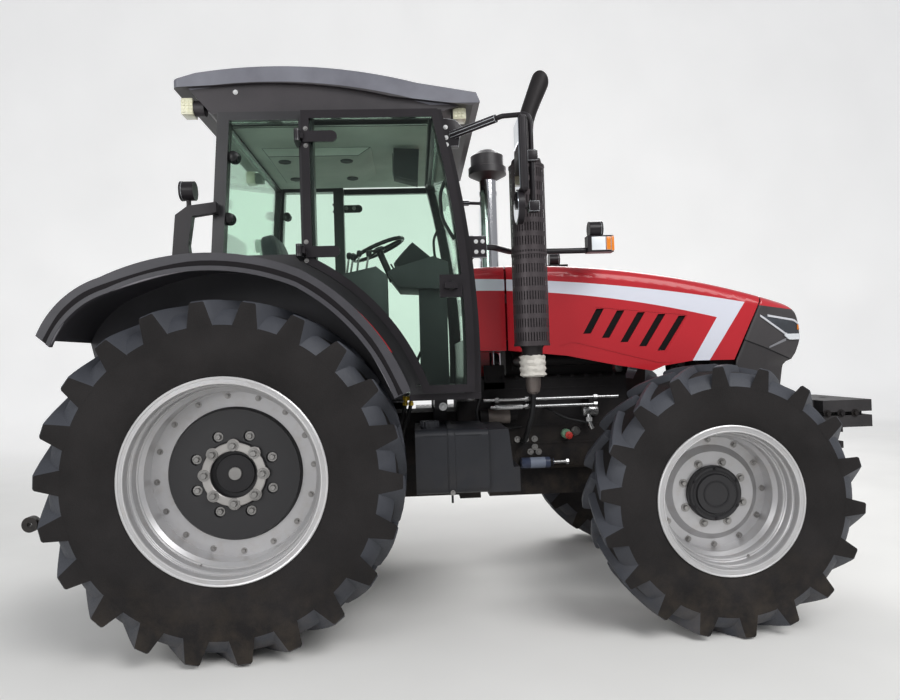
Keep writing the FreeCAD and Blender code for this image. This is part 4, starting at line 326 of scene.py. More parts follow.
def roof_paint():
    """Glossy grey cap, a painted sheen, over the dark band that carries the lamps; faces that look down keep
    the dark colour as painted shade.
    """
    tree = Tree("roof_paint")
    ahead, _, z = tree.place_from_axle()
    # painted sheen: above the edge line the roof is drawn pale grey
    cap = tree.times(tree.minus(1.0, tree.below(ahead, z, ROOF_SHEEN_EDGE)), tree.spread(z, *ROOF_SHEEN_FRONT))
    facing = tree.split(tree.node("NewGeometry", {}).outputs["Normal"])[2]
    # painted shade: faces that look down stay dark
    cap = tree.times(cap, tree.spread(facing, -0.3, -0.2))
    dark = tree.clouds(4.0, linear((42, 39, 42)), linear((52, 48, 51)))
    pale = tree.clouds(4.0, linear((96, 96, 104)), linear((112, 113, 121)))
    roughness = tree.spread(cap, 0.0, 1.0, 0.45, 0.36)
    tree.put(Base_Color=tree.mix(cap, dark, pale), Roughness=roughness, Coat_Weight=tree.times(cap, 0.12))
    tree.bump(tree.noise(380.0, 2.0), 0.0001)
    return tree.material


CLEANER_FOOT = (2.7355, 2.7365)

def intake_finish():
    """Chrome pipe under a black pre-cleaner."""
    tree = Tree("intake_finish")
    black = tree.spread(tree.split(tree.place)[2], *CLEANER_FOOT)
    dirt = tree.noise(90.0, 3.0)
    tone = tree.mix(black, linear((205, 205, 208)), linear((44, 41, 43)))
    roughness = tree.plus(tree.spread(black, 0.0, 1.0, 0.1, 0.4), tree.times(dirt, 0.06))
    tree.put(Base_Color=tone, Metallic=tree.minus(1.0, black), Roughness=roughness)
    tree.bump(dirt, 0.00005)
    return tree.material


def cloth(threads=1500.0):
    """Woven seat cover: two sets of threads, softened by wear."""
    tree = Tree("seat_fabric")
    x, y, z = tree.split(tree.place)
    warp = tree.math("SINE", tree.times(y, threads))
    weave = tree.times(warp, tree.math("SINE", tree.times(tree.plus(x, z), threads)))
    tone = tree.mix(tree.spread(weave, -0.6, 0.6), linear((44, 45, 50)), linear((70, 72, 78)))
    tree.put(Base_Color=tone, Roughness=0.92, Sheen_Weight=0.4)
    tree.bump(weave, 0.0004)
    return tree.material


LOOKS = {
    # colour, roughness, share of metal, the grain's scale and depth, then what else differs
    "rubber": (RUBBER, 0.75, 0, 160, 0.0006, dict(vary=0.2, dust=0.12, dust_top=0.5, gloss=0.15)),
    "lug_rubber": ((62, 64, 70), 0.55, 0, 120, 0.0008, dict(vary=0.16, dust=0.16, dust_top=0.5)),
    "rim_lip": ((206, 205, 205), 0.34, 0.5, 260, 0.00015, dict(vary=0.08)),
    "bolt_bright": ((214, 214, 214), 0.35, 0.3, 400, 0.0002, dict(vary=0.1)),
    "hub_silver": ((168, 165, 162), 0.4, 0.5, 200, 0.0002, dict(vary=0.15, dust=0.1)),
    "hub_black": ((33, 32, 34), 0.42, 0, 180, 0.0003, dict(vary=0.2)),
    "bolt_steel": ((150, 148, 146), 0.32, 0.9, 500, 0.0002, dict(vary=0.15)),
    "cast_black": ((32, 30, 31), 0.55, 0, 70, 0.0012, dict(vary=0.25, dust=0.22, dust_top=1.2, gloss=0.15)),
    "weight_iron": ((48, 46, 47), 0.6, 0, 60, 0.0014, dict(vary=0.22, dust=0.25)),
    "hitch_black": ((40, 40, 42), 0.45, 0.2, 90, 0.0006, dict(dust=0.3)),
    "frame_black": ((34, 31, 34), 0.36, 0, 260, 0.0001, dict(vary=0.15, coat=0.1, gloss=0.2)),
    "seal_black": ((18, 18, 19), 0.7, 0, 200, 0.0003, {}),
    "fender_black": ((62, 61, 65), 0.42, 0, 420, 0.00025, dict(vary=0.15)),
    "trim_grey": ((70, 72, 74), 0.6, 0, 420, 0.0003, {}),
    "trim_dark": ((40, 41, 43), 0.6, 0, 420, 0.0003, {}),
    "tank_black": ((34, 35, 39), 0.42, 0, 300, 0.0002, dict(dust=0.12)),
    "hose_black": ((26, 26, 27), 0.55, 0, 300, 0.0003, {}),
    "pipe_steel": ((168, 168, 168), 0.28, 0.9, 300, 0.0002, {}),
    "trim_bright": ((216, 217, 222), 0.25, 0.2, 60, 0.00005, dict(vary=0.06)),
    "chin_grey": ((128, 128, 132), 0.4, 0, 240, 0.0002, dict(vary=0.08)),
    "starter_grey": ((112, 104, 99), 0.4, 0.5, 160, 0.0004, dict(vary=0.2)),
    "filter_blue": ((62, 70, 92), 0.35, 0, 260, 0.0002, dict(vary=0.1)),
    "label_pale": ((126, 134, 150), 0.5, 0, 260, 0.0002, dict(vary=0.1)),
    "fitting_green": ((104, 136, 112), 0.45, 0, 260, 0.0002, dict(vary=0.15)),
    "liner": ((190, 194, 188), 0.8, 0, 420, 0.0004, dict(vary=0.08, gloss=0.15)),
    # painted highlight: pale grey on the fender's bead, which is the fender's own dark plastic
    "lip_highlight_grey": ((124, 122, 127), 0.42, 0, 420, 0.0001, dict(vary=0.08)),
    # painted shade: near-black band for the shade in the fender's groove
    "groove_shade_dark": ((26, 24, 26), 0.6, 0, 420, 0.0002, dict(vary=0.1, gloss=0.1)),
    "lens_pale": ((214, 212, 186), 0.2, 0, 90, 0.0012, dict(vary=0.14, coat=0.5)),
    "steel_black": ((40, 37, 38), 0.5, 0.3, 120, 0.0003, dict(vary=0.2)),
    "guard_black": ((66, 60, 62), 0.45, 0.3, 160, 0.0002, dict(vary=0.2)),
    "pipe_burnt": ((112, 104, 100), 0.5, 0.6, 90, 0.0004, dict(vary=0.25)),
    "mesh_black": ((14, 13, 14), 0.7, 0, 300, 0.001, dict(gloss=0.15)),
    "wrap_white": ((206, 202, 194), 0.85, 0, 90, 0.0014, dict(vary=0.14)),
    "fitting_red": ((170, 50, 44), 0.4, 0, 300, 0.0002, {}),
    "fitting_yellow": ((196, 168, 62), 0.35, 0.6, 300, 0.0002, {}),
    "knob_black": ((22, 22, 23), 0.35, 0, 300, 0.0002, {}),
    "mirror_face": ((196, 202, 208), 0.03, 1, 20, 0.00001, {}),
    "lens_white": ((222, 226, 230), 0.12, 0, 260, 0.0006, dict(coat=0.6)),
    "lens_dark": ((66, 70, 76), 0.12, 0, 48, 0.0012, dict(vary=0.4, coat=0.9)),
    "lens_red": ((168, 22, 24), 0.14, 0, 260, 0.0004, dict(coat=0.6)),
    "lens_amber": ((222, 128, 34), 0.14, 0, 260, 0.0004, dict(coat=0.6)),
    "screen": ((22, 28, 34), 0.1, 0, 40, 0.00002, dict(coat=0.5)),
}
FINISH = {name: surface(name, *look[:-1], **look[-1]) for name, look in LOOKS.items()}
FINISH.update(
    rear_rim=rim_finish("rear_rim_paint", REAR_WHEEL, 0.346),
    front_rim=rim_finish("front_rim_paint", FRONT_WHEEL, 0.146),
    roof_paint=roof_paint(), seat_fabric=cloth(), hood_paint=hood_paint(), intake=intake_finish(),
    nose_paint=nose_paint(), cab_side=cab_side_paint(), glass=glass()
)

# Nodes of the frame by finish, without left and right where both are there
NODE_FINISH = {
    "rubber": "rear_tyre front_tyre", "rear_rim": "rear_rim", "front_rim": "front_rim",
    "cast_black": (
        "front_axle_beam engine_block transmission_housing front_frame radiator knuckle rear_axle_housing"
    ),
    "hitch_black": "tie_rod lower_links lift_arms lift_rods drawbar top_link",
    "weight_iron": "weight_carrier",
    "frame_black": "cab_floor cab_front_frame cab_rear_frame door mirror lamp_arm rear_lamp",
    "glass": "windshield rear_window quarter_window door_glass", "roof_paint": "roof", "cab_side": "cab_side",
    "fender_black": "fender", "hood_paint": "hood cowl", "nose_paint": "nose", "lens_dark": "headlamps",
    "steel_black": "exhaust", "intake": "air_intake", "tank_black": "fuel_tank step_box",
    "seat_fabric": "seat", "trim_grey": "controls",
}
for finish, labels in NODE_FINISH.items():
    for label in labels.split():
        for name in [label] if label in nodes else [label + "_left", label + "_right"]:
            nodes[name].data.materials.clear()
            nodes[name].data.materials.append(FINISH[finish])


# Mesh pieces

def mesh_object(name, vertices, faces):
    mesh = bpy.data.meshes.new(name)
    mesh.from_pydata([tuple(v) for v in vertices], [], faces)
    mesh.update()
    thing = bpy.data.objects.new(name, mesh)
    bpy.context.scene.collection.objects.link(thing)
    return thing


def frame_of(axis):
    """Two directions square to an axis."""
    axis = Vector(axis).normalized()
    side = axis.cross(Vector(UP) if abs(axis.z) < 0.9 else Vector(AHEAD)).normalized()
    return side, side.cross(axis).normalized()


class Build:
    """Vertices and faces gathered from several forms into one mesh."""

    def __init__(self):
        self.vertices, self.faces, self.slots = [], [], []

    def grid(self, rows, closed=False, around=False, slot=0, caps=False):
        """Quads between rows of points. closed joins the last row to the first, around each row's ends."""
        count, start = len(rows[0]), len(self.vertices)
        self.vertices += [Vector(point) for row in rows for point in row]
        faces = []
        for r in range(len(rows) if closed else len(rows) - 1):
            low, high = start + r * count, start + (r + 1) % len(rows) * count
            for c in range(count if around else count - 1):
                after = (c + 1) % count
                faces.append([low + c, low + after, high + after, high + c])
        if caps:
            end = len(self.vertices)
            faces += [list(range(start, start + count)), list(range(end - count, end))]
        self.faces += faces
        self.slots += [slot] * len(faces)

    def bar(self, rows, slot=0):
        """Closed form through rows of points that run around it."""
        self.grid(rows, around=True, slot=slot, caps=True)

    def box(self, x, y, z, slot=0):
        """Block between pairs of x, y and z."""
        self.bar([[(px, y[0], z[0]), (px, y[1], z[0]), (px, y[1], z[1]), (px, y[0], z[1])] for px in x], slot)

    def plate(self, outline, y, slot=0):
        """Outline of x and z between two places across."""
        self.bar([[(px, py, pz) for px, pz in outline] for py in y], slot)

    def lathe(self, centre, axis, profile, steps=32, slot=0):
        """Form turned about an axis, from radius and distance along it."""
        centre, axis = Vector(centre), Vector(axis).normalized()
        side, top = frame_of(axis)
        rows = []
        for turn in turns(steps):
            way = side * math.cos(turn) + top * math.sin(turn)
            rows.append([centre + axis * along + way * radius for radius, along in profile])
        self.grid(rows, closed=True, slot=slot)

    def knob(self, centre, axis, profile, steps=24, slot=0, foot=0.0, top=None):
        """Turned form that is filled in to its axis at both ends."""
        top = profile[-1][1] if top is None else top
        self.lathe(centre, axis, [(PIN, foot), *profile, (PIN, top)], steps, slot)

    def disc(self, centre, axis, radius, thick, steps=32, slot=0):
        """Round plate with a softened rim, from a place along its axis."""
        soft = min(0.2 * thick, 0.1 * radius)
        self.knob(centre, axis, [(radius, 0.0), (radius, thick - soft), (radius - soft, thick)], steps, slot)

    def ring_plate(self, centre, axis, inner, outer, thick, steps=40, slot=0):
        profile = [(inner, 0.0), (outer, 0.0), (outer, thick), (inner, thick), (inner, 0.0)]
        self.lathe(centre, axis, profile, steps, slot)

    def bolt(self, place, axis, size, slot=0, sides=6):
        """Washer and six-sided head, its flats size apart."""
        axis = Vector(axis).normalized()
        self.disc(place, axis, size * 0.95, size * 0.16, 18, slot)
        radius = size / 2 / math.cos(math.pi / sides)
        profile = [(radius, 0.0), (radius, size * 0.5), (radius * 0.84, size * 0.6)]
        self.knob(Vector(place) + axis * size * 0.16, axis, profile, sides, slot)

    def tube(self, path, radius, steps=12, slot=0, bend=0.0, spans=6):
        """Round bar along a path, its corners rounded by a bend's radius."""
        points = [Vector(p) for p in path]
        if bend:
            rounded = [points[0]]
            for before, corner, after in zip(points, points[1:], points[2:]):
                reach = min(bend, (before - corner).length * 0.45, (after - corner).length * 0.45)
                start = corner + (before - corner).normalized() * reach
                end = corner + (after - corner).normalized() * reach
                for index in range(spans + 1):
                    t = index / spans
                    rounded.append(start * (1 - t) ** 2 + corner * 2 * t * (1 - t) + end * t ** 2)
            points = rounded + [points[-1]]
        rows = []
        side = frame_of(points[1] - points[0])[0]
        for index, point in enumerate(points):
            ahead = (points[min(index + 1, len(points) - 1)] - points[max(index - 1, 0)]).normalized()
            side = (side - ahead * side.dot(ahead)).normalized()
            top = ahead.cross(side)
            rows.append([
                point + (side * math.cos(turn) + top * math.sin(turn)) * radius for turn in turns(steps)
            ])
        self.bar(rows, slot)

    def piece(self, name, finishes, body, slot, sharp=35.0, bevel=0.0, sign=1, wheel=False):
        """The gathered mesh as a piece. sign -1 mirrors it, wheel says that x isn't from the rear axle."""
        shift = 0.0 if wheel else REAR_AXLE_X
        thing = mesh_object(name, [(v.x + shift, v.y * sign, v.z) for v in self.vertices], self.faces)
        mesh = thing.data
        for finish in finishes:
            mesh.materials.append(FINISH[finish])
        mesh.polygons.foreach_set("material_index", self.slots)
        work = bmesh.new()
        work.from_mesh(mesh)
        bmesh.ops.recalc_face_normals(work, faces=work.faces)
        if bevel:
            edges = [e for e in work.edges if e.is_manifold and e.calc_face_angle(0.0) > math.radians(40)]
            bmesh.ops.bevel(work, geom=edges, offset=bevel, segments=2, profile=0.6, affect="EDGES")
        work.to_mesh(mesh)
        work.free()
        mesh.polygons.foreach_set("use_smooth", [True] * len(mesh.polygons))
        mesh.set_sharp_from_angle(angle=math.radians(sharp))
        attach(thing, body)
        return thing


def along(table, value):
    """Second column of a table at a value of its first, on straight lines between its rows."""
    if value <= table[0][0]:
        return table[0][1]
    for (low, first), (high, second) in zip(table, table[1:]):
        if value <= high:
            return first + (second - first) * (value - low) / (high - low)
    return table[-1][1]


def between(first, last, steps):
    """Places evenly spread from one number to another."""
    return [first + (last - first) * index / steps for index in range(steps + 1)]


def turns(steps):
    """Angles evenly spread round a circle."""
    return between(0, 2 * math.pi, steps)[:-1]


def wheel_point(centre, radius, turn, y):
    """Point at a radius and turn about a cross axis, at a distance across."""
    return Vector((centre.x + radius * math.cos(turn), y, centre.z + radius * math.sin(turn)))


def ring(build, centre, profile, steps):
    """Closed ring from an outline of radius and y."""
    rows = [[wheel_point(centre, r, turn, y) for r, y in profile] for turn in turns(steps)]
    build.grid(rows, closed=True, around=True)


# Tyres

# How far a lug leans, as a share of half the tyre's width
LUG_LEAN = 0.95
# The slanted facets between the lugs, as shares of a lug's height and of the tyre's width
FACET_FALL = 3.1
FACET_REACH = 0.27
LUG_STATIONS = (
    # share of the way out, drop of the tread, half width at the top and at the foot
    (-0.07, 0.002, 0.02, 0.032), (0.0, 0.0, 0.024, 0.037), (0.35, 0.001, 0.026, 0.04),
    (0.7, 0.003, 0.03, 0.046), (0.86, 0.005, 0.033, 0.05), (0.975, 0.008, 0.036, 0.055),
    (1.0, 0.014, 0.037, 0.057),
)
LUG_EDGE = 0.006
REAR_TYRE = dict(radius=0.8875, width=0.467, seat_r=0.4826, rim_width=0.4064, lugs=22, depth=0.042)
FRONT_TYRE = dict(radius=0.6875, width=0.378, seat_r=0.3556, rim_width=0.3302, lugs=18, depth=0.036)

def tyre_floor(radius, width, depth, across):
    """Radius of the carcass between the lugs, at a distance across from its middle."""
    half = width / 2
    edge = half * (1 - FACET_REACH)
    crown = radius - depth - 0.008 * (min(across, edge) / edge) ** 2
    if across <= edge:
        return crown
    return crown + (radius - depth * FACET_FALL - crown) * ((across - edge) / (half - edge)) ** 1.25


def make_tyre(axle, side, radius, width, seat_r, rim_width, lugs, depth):
    """Carcass with bulged walls and facets at its shoulders, and slanted lugs that meet by turns."""
    wheel = "%s_wheel_%s" % (axle, side)
    centre = joint_at[wheel + "_spin"]
    half = width / 2
    bead_half = rim_width / 2 - 0.012
    foot_r = seat_r + 0.0294
    wall = [(seat_r + 0.001, bead_half)]
    for share in between(0, 1, 14):
        r = foot_r + (radius - depth * FACET_FALL - foot_r) * share
        bulge = math.sin(math.pi / 2 * min(1.0, share * 1.5 + 0.1)) ** 0.8
        y = bead_half + (half - 0.001 - bead_half) * bulge
        for ring_r in (0.012, 0.022, 0.075):
            y += 0.0025 * math.exp(-((r - foot_r - ring_r) / 0.004) ** 2)
        wall.append((r, y))
    floor = [(tyre_floor(radius, width, depth, abs(y)), y) for y in between(half, -half, 20)[1:-1]]
    outline = wall + floor + [(r, -y) for r, y in reversed(wall)]
    build = Build()
    ring(build, centre, [(r, centre.y + y) for r, y in outline], 132)
    last = len(outline) - len(wall)
    for index in range(len(build.faces)):
        column = index % len(outline)
        if len(wall) - 1 <= column < len(wall) + 2 or last - 3 <= column < last:
            build.slots[index] = 1
    size = radius / REAR_TYRE["radius"]
    pitch = 2 * math.pi / lugs
    for row in (1, -1):
        for index in range(lugs):
            start = pitch * (index + (0.5 if row > 0 else 0.0))
            rows = []
            for share, drop, wide, foot in LUG_STATIONS:
                across = share * half
                turn = start + LUG_LEAN * half / radius * share
                top, wide = radius - drop * size, wide * size
                base = tyre_floor(radius, width, depth, abs(across)) - LUG_EDGE
                flank = (top - LUG_EDGE - base) * 0.14 + foot * size
                corners = (
                    (-flank, base), (-wide, top - LUG_EDGE), (-wide + LUG_EDGE, top),
                    (wide - LUG_EDGE, top), (wide, top - LUG_EDGE), (flank, base),
                )
                y = centre.y + row * across
                rows.append([
                    wheel_point(centre, level, turn + shift / radius, y) for shift, level in corners
                ])
            build.grid(rows, slot=1, caps=True)
            build.slots[-1] = 0
    name = "%s_tyre" % axle
    thing = build.piece(
        "%s_dressed_%s" % (name, side), ["rubber", "lug_rubber"], wheel, "tyre_rubber", sharp=24.0, wheel=True
    )
    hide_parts("%s_%s" % (name, side))


# Wheels' bolts, hubs and rims

# Outlines of radius and distance across: rolled edge, the flange's inner bead, two beads on the barrel
REAR_LIPS = (
    ((0.495, 1.08), (0.497, 1.087), (0.5025, 1.0895), (0.507, 1.087), (0.508, 1.08)),
    ((0.471, 1.08), (0.473, 1.0865), (0.4775, 1.0875), (0.482, 1.08)),
    ((0.462, 1.015), (0.4615, 1.025), (0.4655, 1.03), (0.47, 1.028), (0.471, 1.02)),
    ((0.449, 0.953), (0.4495, 0.964), (0.4535, 0.969), (0.458, 0.967), (0.459, 0.96)),
)
FRONT_LIPS = (
    ((0.37, 1.077), (0.372, 1.084), (0.3765, 1.086), (0.38, 1.084), (0.381, 1.077)),
    ((0.345, 1.077), (0.347, 1.0835), (0.35, 1.0845), (0.354, 1.077)),
    ((0.335, 1.026), (0.335, 1.037), (0.3385, 1.041), (0.342, 1.039), (0.343, 1.032)),
    ((0.319, 0.97), (0.319, 0.981), (0.3225, 0.985), (0.327, 0.983), (0.328, 0.976)),
)
RING_Y = 0.8712
RING_OUTLINE = ((0.121, -0.002), (0, -0.002), (0, 0.007), (-0.004, 0.01), (0.125, 0.01), (0.121, 0.007))

def bolt_circle(build, centre, radius, count, first, y, size, slot):
    for index in range(count):
        spot = wheel_point(centre, radius, 2 * math.pi * index / count + first, y)
        build.bolt(spot, LEFT, size, slot)


def rear_hub():
    """Scalloped silver ring with its nuts, the sunk bolts round it, the disc's rim bolts and the valve."""
    centre = REAR_WHEEL
    build = Build()
    rows = []
    for turn in turns(96):
        outer = 0.164 + 0.019 * max(0.0, math.cos(8 * turn)) ** 0.8
        # radii up to nothing are counted from the scalloped edge
        rows.append([
            wheel_point(centre, r if r > 0 else outer + r, turn, RING_Y + y) for r, y in RING_OUTLINE
        ])
    build.grid(rows, closed=True, around=True)
    bolt_circle(build, centre, 0.148, 8, 0.0, RING_Y + 0.01, 0.03, 1)
    bolt_circle(build, centre, 0.208, 8, math.pi / 8, 0.8452, 0.026, 1)
    bolt_circle(build, centre, 0.404, 16, math.pi / 40, 0.8332, 0.017, 1)
    build.disc((centre.x, 0.8335, centre.z), LEFT, 0.1, 0.012, slot=2)
    build.disc((centre.x, 0.8455, centre.z), LEFT, 0.034, 0.01, slot=1)
    build.tube([wheel_point(centre, 0.455, -1.9, y) for y in (0.93, 0.975)], 0.0055, 10, slot=1)
    return build


def front_hub():
    """Studs round the black hub, the disc's brackets with their bolts, the cap's rings and the valve."""
    centre = FRONT_WHEEL
    build = Build()
    bolt_circle(build, centre, 0.169, 8, 0.45, 0.8561, 0.024, 1)
    bolt_circle(build, centre, 0.281, 12, math.pi / 120, 0.8331, 0.017, 1)
    bolt_circle(build, centre, 0.13, 6, math.pi / 6, 0.8921, 0.011, 2)
    for index in range(12):
        turn = 2 * math.pi * index / 12 + math.pi / 120
        build.disc(wheel_point(centre, 0.281, turn, 0.8301), LEFT, 0.019, 0.004, 4)
    for y, inner, outer in ((0.8921, 0.116, 0.124), (0.9041, 0.062, 0.07)):
        build.ring_plate((centre.x, y, centre.z), LEFT, inner, outer, 0.003, slot=2)
    build.tube([wheel_point(centre, 0.325, -1.2, y) for y in (0.95, 0.995)], 0.005, 10, slot=1)
    return build


def rim_lips(centre, outlines):
    """Rolled edge and beads pressed into a rim."""
    build = Build()
    for outline in outlines:
        ring(build, centre, outline, 96)
    return build


for side, sign in SIDES:
    make_tyre("rear", side, **REAR_TYRE)
    make_tyre("front", side, **FRONT_TYRE)
for side, sign in SIDES:
    rear = dict(body="rear_wheel_%s" % side, slot="rim_silver", sign=sign, wheel=True)
    front = dict(rear, body="front_wheel_%s" % side)
    hub_finishes = ["hub_silver", "bolt_steel", "hub_black"]
    rear_hub().piece("rear_hub_%s" % side, hub_finishes, **rear)
    front_hub().piece("front_hub_%s" % side, hub_finishes, **front)
    rim_lips(REAR_WHEEL, REAR_LIPS).piece("rear_rim_lips_%s" % side, ["rim_lip"], **rear)
    rim_lips(FRONT_WHEEL, FRONT_LIPS).piece("front_rim_lips_%s" % side, ["rim_lip"], **front)


# Exhaust

EXHAUST_PLACE = (1.594, -0.712)
MANIFOLD_Z = 1.42
MUFFLER = (
    (0.056, 1.44), (0.058, 1.49), (0.068, 1.506), (0.084, 1.53), (0.085, 1.545), (0.085, 2.51),
    (0.08, 2.53), (0.056, 2.548), (0.05, 2.56),
)
ELBOW = ((0.018, 1.238), (0.034, 1.252), (0.041, 1.285), (0.043, 1.345))
STACK = (
    # x, z, radius, lean in degrees
    (1.594, 2.5, 0.044, 0.0), (1.594, 2.68, 0.044, 0.0), (1.601, 2.745, 0.044, 10.0),
    (1.617, 2.8, 0.045, 17.0), (1.643, 2.865, 0.047, 21.0), (1.668, 2.925, 0.05, 22.0),
    (1.685, 2.966, 0.051, 22.0), (1.684, 2.962, 0.047, 22.0), (1.645, 2.87, 0.043, 21.0),
    (1.62, 2.795, 0.041, 17.0),
)
# The two rows of the stack that are its slanted mouth
MOUTH = (6, 7)
# Guard: rows of upright slots between ribs, on the outer half of the muffler
GUARD_R = 0.097
GUARD_LOW = 1.502
GUARD_ROWS = 13
GUARD_PITCH = 0.0745
GUARD_RIBS = 22
GUARD_WEB = 0.027
# The cloth wrapped round the elbow: radius, foot, height and rows
WRAP_R = 0.0695
WRAP_FOOT = 1.334
WRAP_TALL = 0.118
WRAP_ROWS = 14

def muffler_guard(build):
    """Half sleeve of ribs and webs, its slots open to the muffler behind."""
    x, y = EXHAUST_PLACE
    high = GUARD_LOW + GUARD_ROWS * GUARD_PITCH + GUARD_WEB
    first = math.radians(-190.0)
    step = math.radians(200.0) / GUARD_RIBS

    def cell(low_turn, high_turn, low, top):
        corners = ((GUARD_R - 0.002, low), (GUARD_R, low), (GUARD_R, top), (GUARD_R - 0.002, top))
        build.bar([
            [(x + math.cos(turn) * r, y + math.sin(turn) * r, z) for r, z in corners]
            for turn in (low_turn, high_turn)
        ], 1)

    for rib in range(GUARD_RIBS):
        turn = first + rib * step
        cell(turn, turn + step * 0.64, GUARD_LOW, high)
        if rib < GUARD_RIBS - 1:
            for row in range(GUARD_ROWS + 1):
                foot = GUARD_LOW + row * GUARD_PITCH
                cell(turn + step * 0.6, turn + step * 1.04, foot, foot + GUARD_WEB)
    for z in (GUARD_LOW + 0.002, (GUARD_LOW + high) / 2, high - 0.014):
        build.ring_plate((x, y, z), UP, GUARD_R - 0.004, GUARD_R + 0.0025, 0.012, 48, slot=1)


def stack_pipe(build):
    """Stack whose top leans forward and widens into a scoop with a slanted mouth."""
    rows = []
    for index, (x, z, radius, lean) in enumerate(STACK):
        tilt = math.radians(lean)
        ahead = Vector((math.sin(tilt), 0, math.cos(tilt)))
        front = Vector((math.cos(tilt), 0, -math.sin(tilt)))
        slant = 0.042 if index in MOUTH else 0.0
        row = []
        for turn in turns(28):
            way = front * math.cos(turn) + Vector((0, math.sin(turn), 0))
            drop = ahead * slant * (way.y + 0.3 * math.cos(turn))
            row.append(Vector((x, EXHAUST_PLACE[1], z)) + way * radius - drop)
        rows.append(row)
    build.bar(rows)


def exhaust():
    """Muffler, guard, stack, wrapped elbow and the pipe to the manifold."""
    x, y = EXHAUST_PLACE
    build = Build()
    build.knob((x, y, 0), UP, MUFFLER, 40, foot=MUFFLER[0][1])
    stack_pipe(build)
    muffler_guard(build)
    build.knob((x, y, 0), UP, ELBOW, 32, slot=3, foot=1.236)
    wraps = []
    for level in range(WRAP_ROWS + 1):
        z = WRAP_FOOT + WRAP_TALL * level / WRAP_ROWS
        edge = 0.011 if level in (0, WRAP_ROWS) else 0.0
        row = []
        for turn in turns(44):
            crumple = math.sin(5 * turn + 1.9 * level) * 0.0016 + math.sin(11 * turn - 1.3 * level) * 0.0012
            radius = WRAP_R + 0.0034 * math.sin(level * 1.55) + 1.4 * crumple - edge
            row.append((x + radius * math.cos(turn), y + radius * math.sin(turn), z + crumple))
        wraps.append(row)
    build.bar(wraps, 2)
    build.tube([(x, y, MANIFOLD_Z), (x, -0.3, MANIFOLD_Z), (x, -0.234, MANIFOLD_Z)], 0.044, 24, bend=0.02)
    for z, inner, outer in ((2.562, 0.043, 0.05), (2.44, 0.084, 0.089)):
        build.ring_plate((x, y, z), UP, inner, outer, 0.016)
    build.bolt((x + 0.02, y - 0.05, 2.57), RIGHT, 0.012)
    finishes = ["steel_black", "guard_black", "wrap_white", "pipe_burnt"]
    thing = build.piece("exhaust_dressed", finishes, CHASSIS, "exhaust_steel")
    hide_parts("exhaust")


# Nose, headlamps and hood

NOSE_SIDE_Y = 0.42
NOSE_CORNER_Y = 0.36
NOSE_CORNER_BACK = 0.085
NOSE_TAPER_X = 3.059
NOSE_FRONT_R = 0.805
NOSE_LOW = 1.19
NOSE_REACH = (
    # height, how far forward the front's middle is there
    (1.19, 3.262), (1.345, 3.286), (1.366, 3.304), (1.378, 3.342), (1.42, 3.372), (1.47, 3.392),
    (1.505, 3.402), (1.56, 3.4), (1.61, 3.394), (1.65, 3.384), (1.69, 3.366), (1.76, 3.32),
)
NOSE_TOP = ((3.0, 1.785), (3.06, 1.771), (3.12, 1.759), (3.2, 1.74), (3.28, 1.716), (3.42, 1.664))
NOSE_SEAM = ((1.19, 2.88), (1.338, 2.88), (1.385, 2.884), (1.775, 3.066))
SHOULDER_R = 0.052
# Line of the groove on the nose's side, drawn as a thin near-black strip of painted shade
NOSE_GROOVE_SHADE = ((2.94, 1.506), (3.01, 1.478), (3.085, 1.447), (3.16, 1.417), (3.245, 1.383))
LOUVRES = (
    # count, lowest or highest place, pitch, half width, how proud, height
    (11, 1.215, 0.0135, 0.26, 0.004, 0.006), (9, 1.545, -0.016, 0.24, 0.005, 0.007),
)

def nose_point(share, z, inset=0.0):
    """Place on the nose from the seam, 0, to the middle of its front, 1, at a height."""
    reach = along(NOSE_REACH, z) - inset
    corner = reach - NOSE_CORNER_BACK
    rear = along(NOSE_SEAM, z)
    if share <= 0.5:
        x = rear + (corner - rear) * share * 2
        taper = max(0.0, (x - NOSE_TAPER_X) / (corner - NOSE_TAPER_X))
        return x, NOSE_SIDE_Y - (NOSE_SIDE_Y - NOSE_CORNER_Y) * min(1.0, taper) - inset
    turn = math.asin(NOSE_CORNER_Y / NOSE_FRONT_R) * (2 - 2 * share)
    x = reach - NOSE_FRONT_R + NOSE_FRONT_R * math.cos(turn)
    return x, NOSE_FRONT_R * math.sin(turn) * (1 - inset / NOSE_CORNER_Y)


def nose_side(x, z):
    """Distance across of the nose's skin at a place along it and a height."""
    reach = along(NOSE_REACH, z)
    corner = reach - NOSE_CORNER_BACK
    if x <= corner:
        taper = min(1.0, max(0.0, (x - NOSE_TAPER_X) / (corner - NOSE_TAPER_X)))
        return NOSE_SIDE_Y - (NOSE_SIDE_Y - NOSE_CORNER_Y) * taper
    return math.sqrt(max(0.0, NOSE_FRONT_R ** 2 - (x - reach + NOSE_FRONT_R) ** 2))


def nose_strip(build, stations, sign, proud, slot=0):
    """Strip on the nose's skin, from stations of x and its lower and upper height."""
    rows = []
    for x, low, high in stations:
        outer, inner = [
            [sign * (nose_side(x, z) + lift) for z in (low, high)] for lift in (proud, -0.006)
        ]
        rows.append([(x, inner[0], low), (x, outer[0], low), (x, outer[1], high), (x, inner[1], high)])
    build.bar(rows, slot)


